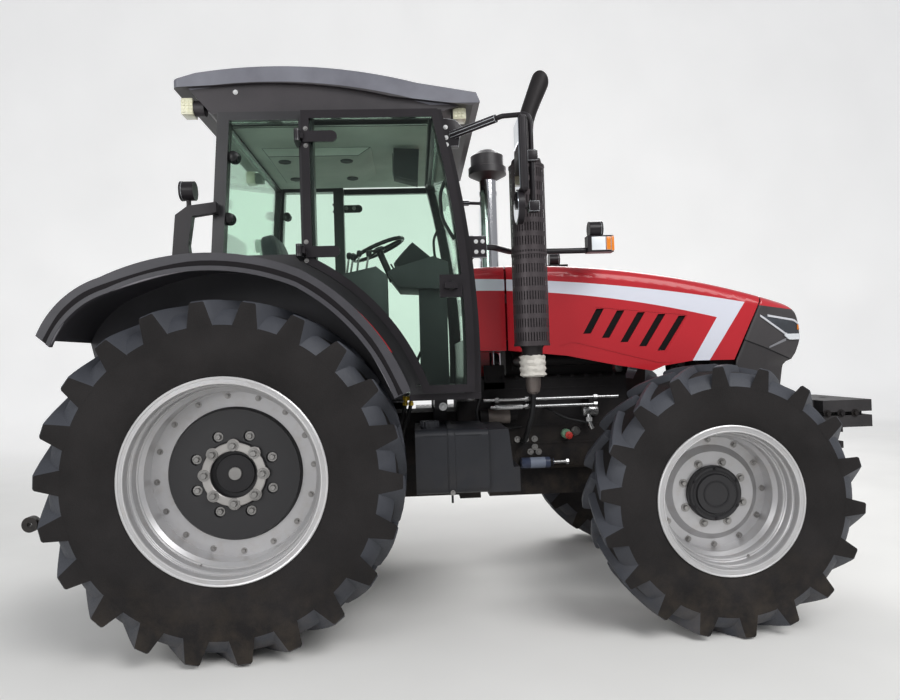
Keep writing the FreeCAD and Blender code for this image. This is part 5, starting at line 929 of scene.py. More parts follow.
def nose():
    """Hollow moulding with rounded shoulders, drawn in towards its chin and its lower grille."""
    shares = between(0, 1, 36)
    columns = [(share, 1) for share in shares] + [(share, -1) for share in reversed(shares[:-1])]
    rows = []
    for part in between(0, 1, 25):
        row = []
        for share, sign in columns:
            z = NOSE_LOW + 0.3 * part
            for _ in range(4):
                x, y = nose_point(share, z)
                z = NOSE_LOW + (along(NOSE_TOP, x) - SHOULDER_R - NOSE_LOW) * part
            row.append(Vector((x, sign * y, z)))
        rows.append(row)
    for turn in between(0, math.pi / 2, 7)[1:]:
        row = []
        for share, sign in columns:
            z = 1.7
            for _ in range(4):
                x, y = nose_point(share, z, SHOULDER_R * (1 - math.cos(turn)))
                z = along(NOSE_TOP, x) - SHOULDER_R * (1 - math.sin(turn))
            row.append(Vector((x, sign * y, z)))
        rows.append(row)
    rim = rows[-1]
    for level in range(1, 7):
        share = 1 - level / 6.2
        rows.append([(p.x, p.y * share, p.z + 0.003 * (1 - share)) for p in rim])
    build = Build()
    build.grid(rows)
    thing = build.piece("nose_dressed", ["nose_paint"], HOOD, "nose_plastic", sharp=40.0)
    skin = thing.modifiers.new("skin", "SOLIDIFY")
    skin.thickness = 0.008
    skin.offset = -1.0
    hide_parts("nose")
    louvres = Build()
    for count, first, pitch, half, proud, tall in LOUVRES:
        for index in range(count):
            z = first + pitch * index
            rows = []
            for across in between(half, -half, 16):
                x = along(NOSE_REACH, z) - NOSE_FRONT_R + math.sqrt(NOSE_FRONT_R ** 2 - across ** 2)
                back, front = x - 0.002, x + proud
                rows.append([
                    (back, across, z), (front, across, z), (front, across, z + tall), (back, across, z + tall)
                ])
            louvres.bar(rows)
    # painted shade: a near-black strip stands proud along each side's groove
    for sign in (1, -1):
        places = between(NOSE_GROOVE_SHADE[0][0], NOSE_GROOVE_SHADE[-1][0], 24)
        line = [(x, along(NOSE_GROOVE_SHADE, x) - 0.004, along(NOSE_GROOVE_SHADE, x) + 0.004) for x in places]
        nose_strip(louvres, line, sign, 0.0015)
    louvres.piece("nose_grille", ["seal_black"], HOOD, "nose_plastic")


# The lens is an arrow between these lines, cut off level below the hood's red
LAMP_LOWER = ((3.04, 1.649), (3.216, 1.534), (3.345, 1.53))
LAMP_UPPER = ((3.088, 1.65), (3.278, 1.62), (3.35, 1.568))
LAMP_CUT = ((3.04, 1.653), (3.088, 1.652), (3.45, 1.652))

def lens_high(x):
    return max(along(LAMP_LOWER, x) + 0.001, min(along(LAMP_UPPER, x), along(LAMP_CUT, x)))


LAMP_STRIPS = (
    # first x, last x, steps, lower edge, upper edge, how proud
    (3.052, 3.362, 26, lambda x: along(LAMP_LOWER, x), lens_high, 0.0015),
    (3.04, 3.225, 14, lambda x: along(LAMP_LOWER, x) - 0.006, lambda x: along(LAMP_LOWER, x) + 0.007, 0.006),
    (3.09, 3.355, 18, lambda x: along(LAMP_UPPER, x) - 0.006, lambda x: along(LAMP_UPPER, x) + 0.006, 0.006),
    (3.205, 3.372, 14, lambda x: 1.5 + max(0.0, 3.235 - x) * 0.8, lambda x: 1.536, 0.01),
    (3.3, 3.372, 8, lambda x: 1.56 + (x - 3.3) * 0.1, lambda x: 1.592 - (x - 3.3) * 0.2, 0.006),
    (3.095, 3.216, 10, lambda x: 1.448 + (x - 3.085) * 0.35, lambda x: 1.458 + (x - 3.085) * 0.4, 0.004),
)
LAMP_FINISH = (0, 1, 1, 2, 3, 4)

def headlamps():
    """Dark arrow-shaped lens between bright strips, with a pale block round the corner."""
    build = Build()
    for sign in (1, -1):
        for (first, last, steps, low, high, proud), slot in zip(LAMP_STRIPS, LAMP_FINISH):
            nose_strip(build, [(x, low(x), high(x)) for x in between(first, last, steps)], sign, proud, slot)
    finishes = ["lens_dark", "trim_bright", "lens_white", "lens_amber", "chin_grey"]
    thing = build.piece("headlamps_dressed", finishes, HOOD, "lamp_glass")
    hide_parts("headlamps")


VENT_PANEL = ((2.02, 1.735), (2.6, 1.665), (2.53, 1.44), (1.93, 1.57))

def hood_details():
    """Round cap behind the hood, and the dark mesh behind its vents."""
    build = Build()
    cap = ((0.087, 0.0), (0.087, 0.014), (0.08, 0.024), (0.06, 0.03))
    build.knob((1.421, 0.0, 1.988), UP, cap, 48, top=0.032)
    build.piece("cowl_cap", ["hood_paint"], CHASSIS, "hood_red")
    for side, sign in SIDES:
        build = Build()
        build.plate(VENT_PANEL, (0.4065, 0.4035))
        build.piece("hood_mesh_%s" % side, ["mesh_black"], HOOD, "nose_plastic", sign=sign)


# Seat

def cushion(name, centre, half, crown, lean=0.0, channels=(), square=5.0):
    """Crowned cushion: sides drawn in between its corners, a sewn rim, and channels across its top."""
    rows = []
    for rise in between(-math.pi / 2, math.pi / 2, 56)[1:-1]:
        flat, high = math.cos(rise), math.sin(rise)
        reach = (abs(flat) ** square + abs(high) ** square) ** (-1 / square)
        rim = 1 - 0.018 * math.exp(-((rise - 0.6) / 0.045) ** 2)
        w = reach * high
        row = []
        for turn in turns(96):
            a, b = math.cos(turn), math.sin(turn)
            out = (abs(a) ** square + abs(b) ** square) ** (-1 / square)
            u, v = reach * flat * out * a, reach * flat * out * b
            fall_u, fall_v = max(0.0, 1 - u * u), max(0.0, 1 - v * v)
            lift = 0.0
            if w > 0:
                lift = crown * fall_u * fall_v
                for place, axis in channels:
                    across = (u if axis == 0 else v) - place
                    lift -= 0.009 * min(1.0, w * 1.5) * math.exp(-(across * half[axis] / 0.008) ** 2)
            x, y = u * half[0] * rim * (1 - 0.035 * fall_v), v * half[1] * rim * (1 - 0.03 * fall_u)
            row.append(Vector((x, y, w * half[2] + lift)))
        rows.append(row)
    turned = Matrix.Rotation(math.radians(lean), 3, "Y")
    build = Build()
    build.bar([[turned @ p + Vector(centre) for p in row] for row in rows])
    thing = build.piece(name, ["seat_fabric"], CHASSIS, "seat_fabric", sharp=70.0)


def seat():
    """Sprung base with its bellows, two cushions and armrests."""
    build = Build()
    build.box((0.23, 0.56), (-0.17, 0.17), (1.263, 1.296))
    rows = []
    for level in range(25):
        z = 1.296 + 0.262 * level / 24
        swell = 0.008 * math.cos(2 * math.pi * level / 4)
        x0, x1, y = 0.252 - swell, 0.538 + swell, 0.148 + swell
        rows.append([(x0, -y, z), (x1, -y, z), (x1, y, z), (x0, y, z)])
    build.grid(rows, around=True, slot=1)
    build.box((0.235, 0.56), (-0.17, 0.17), (1.558, 1.6))
    for sign in (1, -1):
        build.box((0.12, 0.5), (sign * 0.262, sign * 0.302), (1.858, 1.874))
        build.box((0.092, 0.19), (sign * 0.212, sign * 0.3), (1.85, 1.9))
        handle = [(0.3, sign * 0.16, 1.58), (0.46, sign * 0.16, 1.58), (0.52, sign * 0.19, 1.585)]
        build.tube(handle, 0.007, 10)
    base = build.piece("seat_base", ["trim_dark", "hose_black"], CHASSIS, "seat_fabric", bevel=0.004)
    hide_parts("seat")
    # channels: their place as a share of the half length, 0, or of the half width, 1
    channels = ((-0.45, 0), (0.35, 0), (-0.62, 1), (0.62, 1))
    cushion("seat_cushion", (0.42, 0.0, 1.664), (0.236, 0.246, 0.064), 0.012, 0.0, channels)
    channels = ((-0.5, 0), (0.05, 0), (-0.6, 1), (0.6, 1))
    cushion("seat_back", (0.1116, 0.0, 1.9602), (0.312, 0.235, 0.056), 0.012, 78.0, channels)
    for side, sign in SIDES:
        cushion("armrest_%s" % side, (0.318, sign * 0.2825, 1.889), (0.198, 0.026, 0.02), 0.003)


# Driving controls

WHEEL_CENTRE = Vector((0.73, 0.0, 2.176))
WHEEL_TILT = math.radians(22.7)
WHEEL_R = 0.172
COLUMN = ((0.98, 1.263), (0.985, 1.9), (1.16, 1.9), (1.16, 1.263))
DASHBOARD = ((0.86, 1.9), (0.79, 1.995), (0.83, 2.02), (1.08, 2.09), (1.17, 2.05), (1.18, 1.88))
CLUSTER = ((0.83, 2.06), (0.952, 2.193), (1.068, 2.093), (0.96, 1.96))
# The cluster's glass: its lower and upper edge and the way it faces
GLASS_LOW, GLASS_HIGH = Vector((0.836, 0, 2.066)), Vector((0.948, 0, 2.188))
GLASS_OUT = Vector((-0.737, 0, 0.676))

def controls():
    """Column, dashboard and cluster, the steering wheel with its knob, the pedals and a stalk."""
    axis = Vector((-math.sin(WHEEL_TILT), 0, math.cos(WHEEL_TILT)))
    side, top = frame_of(axis)
    build = Build()
    build.plate(COLUMN, (-0.15, 0.15))
    build.plate(DASHBOARD, (-0.228, 0.228))
    build.plate(CLUSTER, (-0.15, 0.15), 1)
    rows = []
    for spot, lift in ((0.06, 0.001), (0.06, 0.004), (0.94, 0.004), (0.94, 0.001)):
        place = GLASS_LOW.lerp(GLASS_HIGH, spot) + GLASS_OUT * lift
        rows.append([place + Vector((0, y, 0)) for y in (-0.135, 0.135)])
    build.grid(rows, closed=True, slot=3)
    for y in (-0.07, 0.07):
        dial = GLASS_LOW.lerp(GLASS_HIGH, 0.5) + GLASS_OUT * 0.004 + Vector((0, y, 0))
        build.ring_plate(dial, GLASS_OUT, 0.044, 0.05, 0.003, 32, slot=4)
    build.tube([WHEEL_CENTRE - axis * 0.23, WHEEL_CENTRE], 0.022, 18, 2)
    hub = ((0.036, 0.0), (0.042, 0.008), (0.042, 0.02), (0.03, 0.03))
    build.knob(WHEEL_CENTRE - axis * 0.02, axis, hub, 32, 2, top=0.032)
    rim = []
    for turn in turns(72):
        way = side * math.cos(turn) + top * math.sin(turn)
        grip = 0.0128 + 0.0006 * math.cos(24 * turn)
        rim.append([
            WHEEL_CENTRE + way * (WHEEL_R + grip * math.cos(bow)) + axis * grip * math.sin(bow)
            for bow in turns(14)
        ])
    build.grid(rim, closed=True, around=True, slot=2)
    for turn in (0.5 * math.pi, 1.18 * math.pi, 1.82 * math.pi):
        way = side * math.cos(turn) + top * math.sin(turn)
        build.tube([WHEEL_CENTRE + way * 0.03 - axis * 0.008, WHEEL_CENTRE + way * 0.168], 0.009, 10, 2)
    grip = ((0.008, 0.0), (0.009, 0.02), (0.022, 0.03), (0.024, 0.044), (0.014, 0.056))
    build.knob(WHEEL_CENTRE + Vector((-0.158, 0.065, -0.066)), axis, grip, slot=2, top=0.058)
    for y, x in ((-0.115, 0.88), (-0.045, 0.88), (0.11, 0.895)):
        build.tube([(0.985, y, 1.5), (x + 0.03, y, 1.34), (x, y, 1.325)], 0.009, 10, 2)
        pedal = ((x - 0.03, 1.318), (x + 0.028, 1.352), (x + 0.02, 1.366), (x - 0.038, 1.332))
        build.plate(pedal, (y - 0.03, y + 0.03), 2)
    build.tube([(0.88, 0.228, 2.02), (0.815, 0.228, 2.085), (0.8, 0.215, 2.11)], 0.006, 10, 2)
    finishes = ["trim_grey", "trim_dark", "knob_black", "screen", "bolt_steel"]
    thing = build.piece("controls_dressed", finishes, CHASSIS, "trim_plastic", bevel=0.004)
    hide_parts("controls")


CONSOLE_TOP = ((0.515, 1.937), (0.745, 1.985))
CAB_PLATES = (
    # outline of x and z, reach across, finish: console and its panel, blower housing, display and its glass
    (((0.36, 1.6), (0.36, 1.88), *CONSOLE_TOP, (0.8, 1.94), (0.8, 1.6)), (-0.54, -0.37), 0),
    (((0.52, 1.941), (0.524, 1.947), (0.742, 1.992), (0.744, 1.986)), (-0.525, -0.385), 1),
    (((0.06, 2.753), (0.1, 2.7), (0.64, 2.7), (0.72, 2.753)), (-0.3, 0.3), 4),
    (((0.85, 2.56), (0.856, 2.728), (1.01, 2.722), (0.996, 2.52)), (-0.35, -0.22), 1),
    (((0.846, 2.575), (0.848, 2.7), (0.852, 2.7), (0.85, 2.575)), (-0.34, -0.23), 5),
)
LEVERS = ((0.56, -0.42, 0.11), (0.62, -0.42, 0.11), (0.68, -0.49, 0.085), (0.59, -0.49, 0.085))
GRAB_RAIL = ((1.15, 0.738, 2.44), (1.112, 0.705, 2.36), (1.118, 0.705, 2.22), (1.18, 0.738, 2.1))
WINDOW_KNOBS = ((0.013, 2.562), (-0.022, 2.232))

def cab_inside():
    """Side console with its levers, roof lining, blower housing, display, grab rails and window knobs."""
    build = Build()
    for plate in CAB_PLATES:
        build.plate(*plate)
    for x, y, tall in LEVERS:
        foot = along(CONSOLE_TOP, x)
        build.tube([(x, y, foot), (x + 0.016, y, foot + tall)], 0.006, 10, 2)
        ball = ((0.012, 0.002), (0.017, 0.02), (0.015, 0.036))
        build.knob((x + 0.016, y, foot + tall - 0.006), (0.15, 0, 1), ball, 20, 3, top=0.042)
    build.box((-0.02, 1.06), (-0.66, 0.66), (2.752, 2.764), 4)
    for x in (0.18, 0.56):
        for y in (-0.2, 0.2):
            build.knob((x, y, 2.701), DOWN, ((0.04, 0.0), (0.038, 0.008), (0.024, 0.01)), slot=1, top=0.006)
    finishes = ["trim_grey", "trim_dark", "bolt_steel", "knob_black", "liner", "screen"]
    build.piece("cab_interior", finishes, CHASSIS, "trim_plastic", bevel=0.003)
    for side, sign in SIDES:
        build = Build()
        build.tube(GRAB_RAIL, 0.01, 12, bend=0.05)
        for x, z in WINDOW_KNOBS:
            build.knob((x, 0.7705, z), LEFT, ((0.03, 0.0), (0.028, 0.01), (0.014, 0.016)), top=0.017)
            inner = ((0.024, 0.0), (0.022, 0.018), (0.034, 0.03), (0.03, 0.046))
            build.knob((x, 0.7655, z), RIGHT, inner, top=0.048)
        build.piece("cab_grips_%s" % side, ["knob_black"], CHASSIS, "trim_plastic", sign=sign)


# Cab outside

def roof_lamps():
    """Square work lamps in the roof's front and rear corners, their lenses moulded in a grid."""
    build = Build()
    for x0, x1, z0, z1, way in ((1.196, 1.264, 2.757, 2.844, 1), (-0.262, -0.202, 2.802, 2.889, -1)):
        build.box((x0, x1), (0.656, 0.744), (z0, z1))
        for cell in range(12):
            x, z = x0 + 0.006 + cell % 3 * 0.02, z0 + 0.008 + cell // 3 * 0.019
            build.box((x, x + 0.014), (0.742, 0.7475), (z, z + 0.013))
        front = x1 if way > 0 else x0
        for index in range(5):
            y = 0.662 + index * 0.016
            build.box((front - 0.002, front + 0.004 * way), (y, y + 0.011), (z0 + 0.006, z1 - 0.006))
    return build


def mirror_faces():
    """The large glass and the round one under it."""
    build = Build()
    build.box((1.4975, 1.501), (0.914, 1.066), (2.29, 2.645))
    build.disc((1.4895, 0.99, 2.21), BACK, 0.079, 0.003, 40)
    return build


# Lenses, 0 white, 1 amber, 2 red, and black holders, 3
LAMP_BOXES = (
    # x, y, z and finish: the front lamp's pale and amber lenses, the arm's foot, the mirror rod's clamps
    ((1.972, 2.052), (0.612, 0.6225), (2.04, 2.116), 0),
    ((2.056, 2.082), (0.608, 0.624), (2.04, 2.116), 1),
    ((2.086, 2.103), (0.552, 0.618), (2.036, 2.12), 1),
    ((1.252, 1.352), (0.77, 0.796), (1.987, 2.103), 3),
    ((1.552, 1.604), (0.966, 1.014), (2.444, 2.496), 3),
    ((1.552, 1.604), (0.966, 1.014), (2.184, 2.236), 3),
)
REAR_GLOW = ((-0.752, 1.762), (-0.818, 1.664), (-0.832, 1.672), (-0.765, 1.77))
LAMP_PLATES = (
    # outline of x and z, reach across, finish: the mirror's bracket, the rear lamp's back, amber and red
    (
        ((1.13, 2.745), (1.205, 2.735), (1.245, 2.69), (1.225, 2.64), (1.218, 2.592), (1.148, 2.592)),
        (0.748, 0.792), 3
    ),
    (((-0.742, 1.76), (-0.814, 1.655), (-0.826, 1.662), (-0.754, 1.768)), (0.93, 1.08), 3),
    (REAR_GLOW, (0.938, 0.984), 1), (REAR_GLOW, (0.988, 1.072), 2),
)
LAMP_ARM = ((1.29, 0.765, 2.045), (1.395, 0.765, 2.045), (1.525, 0.581, 2.045), (1.955, 0.581, 2.045))

def lamp_lenses():
    """Lenses of the lamps on the arms, the rear posts and the fenders, with their holders and brackets."""
    build = Build()
    for sizes in LAMP_BOXES:
        build.box(*sizes)
    for sizes in LAMP_PLATES:
        build.plate(*sizes)
    build.tube(LAMP_ARM, 0.0165, 16, 3, bend=0.04)
    build.tube([(1.18, 0.779, 2.654), (1.405, 0.94, 2.686)], 0.023, 8, 3)
    build.disc((2.0345, 0.581, 2.165), AHEAD, 0.041, 0.006)
    build.ring_plate((2.03, 0.581, 2.165), AHEAD, 0.04, 0.0465, 0.012, 32, 3)
    build.disc((-0.2345, 0.836, 2.363), BACK, 0.042, 0.007)
    build.ring_plate((-0.23, 0.836, 2.363), BACK, 0.041, 0.0515, 0.013, 32, 3)
    return build


CAB_BOLTS = (
    # place, then size: mirror bracket, lamp arm's foot, door sill, roof
    (1.149, 0.7995, 2.692, 0.013), (1.15068, 0.7995, 2.636, 0.013), (1.15182, 0.7995, 2.598, 0.013),
    (1.294, 0.7955, 2.073, 0.012), (1.294, 0.7955, 2.017, 0.012), (1.33, 0.7955, 2.073, 0.012),
    (1.33, 0.7955, 2.017, 0.012), (1.095, 0.64, 1.182, 0.024), (0.034, 0.7735, 2.905, 0.014),
)

def cab_bolts():
    build = Build()
    for *place, size in CAB_BOLTS:
        build.bolt(place, LEFT, size)
    return build


def door_fittings():
    """The hinges' bolts on both faces, and the lock's button."""
    build = Build()
    for x, z in ((0.408, 2.682), (0.408, 2.592), (0.396, 2.083), (0.396, 1.985)):
        build.bolt((x, 0.8395, z), LEFT, 0.013)
    for z in (2.637, 2.029):
        for x in (0.452, 0.512):
            build.bolt((x, 0.8215, z), RIGHT, 0.016)
    button = ((0.024, 0.0), (0.024, 0.016), (0.018, 0.02), (0.016, 0.018))
    build.knob((1.15, 0.85, 1.834), LEFT, button, 28, 1)
    return build


def fender_edge():
    """Bead along the fender's outer edge, painted pale as a highlight, over a dark band of painted shade in
    the groove.
    """
    points = [Vector((x, 0, z)) for x, z in FENDER_LINE]
    line = []
    for index, (p1, p2) in enumerate(zip(points, points[1:])):
        p0 = points[max(0, index - 1)]
        p3 = points[min(len(points) - 1, index + 2)]
        for t in between(0, 1, 8)[:-1]:
            line.append(0.5 * (
                2 * p1 + (p2 - p0) * t + (2 * p0 - 5 * p1 + 4 * p2 - p3) * t * t
                + (3 * p1 - 3 * p2 + p3 - p0) * t ** 3
            ))
    line.append(points[-1])
    build = Build()
    centre = Vector((-0.05, 0, 1.0))
    bead, band = [], []
    for point in line:
        inward = (centre - point).normalized()
        bead.append(point + inward * 0.064 + Vector((0, 1.1095, 0)))
        band.append([point + inward * low + Vector((0, 1.1128, 0)) for low in (0.024, 0.056)])
    # painted highlight on the bead, and painted groove shade in the band below it
    build.tube(bead, 0.0065, 10)
    build.grid(band, slot=1)
    return build


LAMP_FINISHES = ["lens_white", "lens_amber", "lens_red", "frame_black"]

def cab_outside():
    for side, sign in SIDES:
        lamps = dict(body=CHASSIS, slot="lamp_glass", sign=sign)
        roof_lamps().piece("roof_lamp_lenses_%s" % side, ["lens_pale"], bevel=0.001, **lamps)
        mirror_faces().piece("mirror_faces_%s" % side, ["mirror_face"], **lamps)
        lamp_lenses().piece("lamp_lenses_%s" % side, LAMP_FINISHES, bevel=0.001, **lamps)
        cab_bolts().piece("cab_bolts_%s" % side, ["bolt_bright"], CHASSIS, "cab_black", sign=sign)
        finishes = ["bolt_steel", "knob_black"]
        door_fittings().piece("door_fittings_%s" % side, finishes, "door_%s" % side, "cab_black", sign=sign)
    for side, sign in SIDES:
        edge = fender_edge()
        edge.piece("fender_edge_%s" % side, ["lip_highlight_grey", "groove_shade_dark"], CHASSIS, "fender_plastic", sign=sign)


# Engine bay

ENGINE_Y = -0.21
BAY_FINISHES = [
    "pipe_steel", "starter_grey", "filter_blue", "label_pale", "bolt_steel", "fitting_green", "fitting_red",
    "fitting_yellow", "hose_black", "cast_black",
]
BAY_TUBES = (
    # path, radius, sides, finish, bend: oil pipes, their sleeve, the filter's and the pump's pipes
    (((1.352, -0.352, 1.19), (2.172, -0.352, 1.19)), 0.0098, 14, 0, 0),
    (((1.393, -0.352, 1.146), (2.033, -0.352, 1.146)), 0.0098, 14, 0, 0),
    (((1.436, -0.352, 1.146), (1.586, -0.352, 1.146)), 0.016, 18, 0, 0),
    (((2.01, -0.262, 1.078), (2.01, -0.27, 1.03), (2.03, -0.27, 0.99)), 0.013, 14, 0, 0.02),
    (((1.78, -0.236, 0.788), (1.869, -0.236, 0.788)), 0.0108, 14, 0, 0),
    # hoses
    (
        ((1.648, -0.4, 1.25), (1.64, -0.4, 1.12), (1.603, -0.38, 0.985), (1.6, -0.3, 0.93),
         (1.6, -0.205, 0.925)), 0.0165, 16, 8, 0.06
    ),
    (
        ((1.335, -0.33, 1.205), (1.3, -0.36, 1.12), (1.33, -0.33, 1.02), (1.42, -0.3, 1.0),
         (1.54, -0.235, 1.01), (1.6, -0.205, 1.01)), 0.009, 12, 8, 0.05
    ),
    (
        ((1.74, -0.205, 1.13), (1.76, -0.29, 1.12), (1.86, -0.3, 1.06), (1.99, -0.29, 1.03),
         (2.06, -0.205, 1.01)), 0.008, 12, 8, 0.05
    ),
    (
        ((2.06, -0.205, 0.86), (2.07, -0.27, 0.85), (2.15, -0.27, 0.82), (2.19, -0.205, 0.8)),
        0.01, 12, 8, 0.04
    ),
)
BAY_KNOBS = (
    # place, axis, profile, sides, finish, and where the profile closes on the axis if not at its last place
    ((1.978, -0.238, 1.102), AHEAD, ((0.034, 0), (0.0362, 0.004), (0.0362, 0.088), (0.034, 0.092)), 32, 0),
    ((2.01, -0.266, 1.036), UP, ((0.021, 0), (0.021, 0.024)), 6, 0),
    ((1.862, -0.236, 0.788), AHEAD, ((0.018, 0.002), (0.018, 0.018)), 6, 0, 0.02),
    ((1.352, -0.25, 1.086), AHEAD, (
        (0.03, 0), (0.03, 0.03), (0.0472, 0.034), (0.0472, 0.12), (0.048, 0.124), (0.048, 0.134),
        (0.0472, 0.138), (0.0472, 0.166)
    ), 36, 1, 0.168),
    ((1.581, -0.236, 0.788), AHEAD, (
        (0.028, 0), (0.0322, 0.006), (0.0322, 0.18), (0.022, 0.19), (0.022, 0.204)
    ), 32, 2),
    ((1.873, ENGINE_Y, 0.96), RIGHT, ((0.03, 0), (0.03, 0.03), (0.024, 0.036)), 24, 5),
    (
        (1.884, ENGINE_Y - 0.034, 0.952), RIGHT, ((0.024, 0), (0.024, 0.02), (0.01, 0.024), (0.01, 0.04)),
        8, 6
    ),
)
FILLER = ((0.017, 0), (0.017, 0.016), (0.012, 0.018), (0.012, 0.026), (0.018, 0.028), (0.018, 0.05))
COVER_BOLTS = ((1.57, 0.933), (1.62, 0.931), (1.677, 0.932), (1.677, 0.882), (1.649, 0.853), (1.7, 0.851))

def engine_bay():
    """Oil pipes, filter, starter, cooler, hoses and fittings on the engine's right side."""
    build = Build()
    for path, radius, steps, slot, bend in BAY_TUBES:
        build.tube(path, radius, steps, slot, bend)
    for place, axis, profile, steps, slot, *top in BAY_KNOBS:
        build.knob(place, axis, profile, steps, slot, 0.0, *top)
    nut = ((0.0098, 0.0), (0.0165, 0.0), (0.0165, 0.022), (0.0098, 0.022))
    for x in (1.42, 1.602, 2.02):
        for z in (1.19, 1.146):
            build.lathe((x, -0.352, z), AHEAD, nut, 6)
    label = ((0.031, 0), (0.033, 0), (0.033, 0.092), (0.031, 0.092))
    build.lathe((1.64, -0.236, 0.788), AHEAD, label, 32, 3)
    for x, z in COVER_BOLTS:
        build.bolt((x, ENGINE_Y, z), RIGHT, 0.021, 4)
    build.bolt((1.938, ENGINE_Y, 0.972), RIGHT, 0.03, 4)
    for x, y in ((0.885, -0.64), (0.916, -0.655)):
        build.knob((x, y, 1.196), (0.1, 0, 1), FILLER, 6, 7)
        steps = ((0, 0, 1.2), (-0.02, 0.02, 1.12), (-0.05, 0.12, 1.03), (-0.05, 0.25, 0.98))
        build.tube([(x + dx, y + dy, z) for dx, dy, z in steps], 0.011, 12, 8, 0.05)
    build.box((1.372, 1.5), (ENGINE_Y, ENGINE_Y + 0.006), (1.24, 1.4), 9)
    for index in range(4):
        y, z = -0.215 + 0.01 * index, 1.208 + index * 0.017
        build.tube([(0.64, y, z), (1.345, y, z)], 0.0095, 10, 8)
    for z in (0.9, 1.01, 1.24, 1.29):
        build.box((1.38, 2.23), (ENGINE_Y - 0.005, ENGINE_Y + 0.005), (z, z + 0.01), 9)
    for index in range(10):
        for z in (0.77, 1.318):
            build.bolt((1.4 + index * 0.088, ENGINE_Y, z), RIGHT, 0.014, 9)
    build.piece("engine_fittings", BAY_FINISHES, CHASSIS, "chassis_black")


# Tank, steps, hitch and weight carrier

FILLER_PLACE = (1.015, -0.75)
RAIL_BOLTS = ((2.36, 0.76), (2.43, 0.76), (3.1, 1.02), (3.23, 1.02), (3.36, 1.02), (2.95, 0.98))

def tank_trim(build):
    """Seams of the tank, its strap's bolt and the ribs round its cap."""
    for x in (1.104, 1.139):
        build.tube([(x, -0.901, 0.76), (x, -0.901, 1.06)], 0.003, 8)
    build.box((0.975, 1.28), (-0.9015, -0.899), (1.0455, 1.05))
    build.bolt((1.123, -0.902, 0.752), RIGHT, 0.014, 1)
    for turn in turns(16):
        x, y = FILLER_PLACE[0] + 0.048 * math.cos(turn), FILLER_PLACE[1] + 0.048 * math.sin(turn)
        build.box((x - 0.004, x + 0.004), (y - 0.004, y + 0.004), (1.084, 1.1135))


def step_treads(build):
    for z in (0.545, 0.8225, 1.1):
        for index in range(9):
            x = 0.972 + index * 0.036
            build.box((x, x + 0.01), (0.7, 0.868), (z - 0.001, z + 0.003))
    for x, axis in ((0.94, BACK), (1.3, AHEAD)):
        for z in (0.6, 0.95):
            build.bolt((x, 0.78, z), axis, 0.016)


def link_balls(build):
    for sign in (1, -1):
        for y, way in ((0.404, -1), (0.437, 1)):
            build.ring_plate((-1.268, sign * y, 0.58), (0, way, 0), 0.019, 0.029, 0.004, 28)
        build.bolt((-0.22, sign * 0.318, 0.57), (0, sign, 0), 0.034)


def frame_bolts(build):
    """Bolts of the weight carrier and the frame rails, and the carrier's cap."""
    for sign in (1, -1):
        for x in (3.51, 3.6, 3.69):
            build.bolt((x, sign * 0.3, 1.03), (0, sign, 0), 0.026)
        for x, z in RAIL_BOLTS:
            build.bolt((x, sign * 0.205, z), (0, sign, 0), 0.024)
    build.knob((3.675, 0, 1.112), UP, ((0.03, -0.002), (0.028, 0.0)), foot=-0.002)


def chassis_details():
    for make, name, finishes, body, slot in (
        (tank_trim, "tank_trim", ["tank_black", "bolt_steel"], CHASSIS, "chassis_black"),
        (step_treads, "step_treads", ["bolt_steel"], CHASSIS, "chassis_black"),
        (link_balls, "link_balls", ["bolt_steel"], "lower_links", "hitch_steel"),
        (frame_bolts, "frame_bolts", ["cast_black"], CHASSIS, "chassis_black"),
    ):
        build = Build()
        make(build)
        build.piece(name, finishes, body, slot)


exhaust()
nose()
headlamps()
hood_details()
seat()
controls()
cab_inside()
cab_outside()
engine_bay()
chassis_details()


# Floor, light and camera

FLOOR_HALF = 16.0
FLOOR_NEAR = -12.0
BEND_START = 9.0
BEND_R = 3.0
BACKDROP_TOP = 14.0

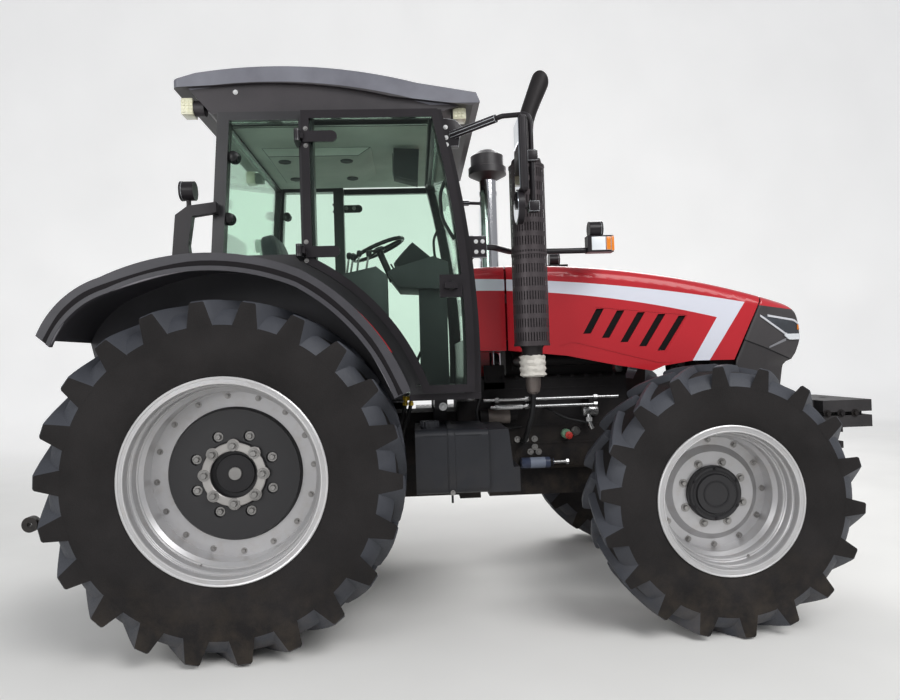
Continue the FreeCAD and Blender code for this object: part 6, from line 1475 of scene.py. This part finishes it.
def floor_and_backdrop():
    """Plain pale floor that curves up behind the tractor."""
    line = [(FLOOR_NEAR, 0.0), (BEND_START, 0.0)]
    for turn in between(0, math.pi / 2, 24)[1:]:
        line.append((BEND_START + BEND_R * math.sin(turn), BEND_R * (1 - math.cos(turn))))
    line.append((BEND_START + BEND_R, BACKDROP_TOP))
    build = Build()
    build.grid([[(x, y, z) for y, z in line] for x in (-FLOOR_HALF, FLOOR_HALF)])
    floor = mesh_object("floor", build.vertices, build.faces)
    floor.data.polygons.foreach_set("use_smooth", [True] * len(floor.data.polygons))
    tree = Tree("floor_paint")
    cloud = tree.spread(tree.noise(0.6, 3.0), 0.3, 0.7)
    tone = tree.mix(cloud, linear((232, 231, 228)), linear((240, 239, 236)))
    glow = tree.spread(tree.split(tree.place)[1], 3.0, 11.0, 0.0, 0.42)
    tree.put(Base_Color=tone, Roughness=0.9, Emission_Color=linear((236, 236, 238)), Emission_Strength=glow)
    floor.data.materials.append(tree.material)


def lamp(name, place, target, size, power):
    light = bpy.data.lights.new(name, "AREA")
    light.shape = "RECTANGLE"
    light.size, light.size_y = size
    light.energy = power
    thing = bpy.data.objects.new(name, light)
    thing.location = place
    thing.rotation_euler = (Vector(target) - Vector(place)).to_track_quat("-Z", "Y").to_euler()
    bpy.context.scene.collection.objects.link(thing)


def camera():
    yaw, pitch, roll = (math.radians(angle) for angle in (CAMERA_YAW, CAMERA_PITCH, CAMERA_ROLL))
    ahead = Vector((math.sin(yaw), math.cos(yaw), 0))
    across = Vector((math.cos(yaw), -math.sin(yaw), 0))
    look = ahead * math.cos(pitch) + Vector(UP) * math.sin(pitch)
    high = Vector(UP) * math.cos(pitch) - ahead * math.sin(pitch)
    right = across * math.cos(roll) + high * math.sin(roll)
    top = high * math.cos(roll) - across * math.sin(roll)
    data = bpy.data.cameras.new("camera")
    data.lens = CAMERA_LENS
    data.sensor_width = 36.0
    data.sensor_fit = "HORIZONTAL"
    thing = bpy.data.objects.new("camera", data)
    thing.matrix_world = Matrix.Translation(CAMERA_AT) @ Matrix((right, top, -look)).transposed().to_4x4()
    bpy.context.scene.collection.objects.link(thing)
    bpy.context.scene.camera = thing


floor_and_backdrop()
lamp("key_light", (3.5, -6.0, 6.5), (0.2, 0.0, 1.2), (5.0, 4.0), 430.0)
lamp("fill_light", (-5.0, -6.5, 3.5), (0.0, 0.0, 1.2), (4.0, 4.0), 190.0)
lamp("back_light", (2.0, 6.0, 6.0), (0.0, 0.0, 1.5), (6.0, 3.0), 320.0)
world = bpy.data.worlds.new("studio")
bpy.context.scene.world = world
world.use_nodes = True
world.node_tree.nodes["Background"].inputs["Color"].default_value = (0.86, 0.88, 0.92, 1.0)
world.node_tree.nodes["Background"].inputs["Strength"].default_value = 0.46
camera()
bpy.context.scene.view_settings.view_transform = "Standard"
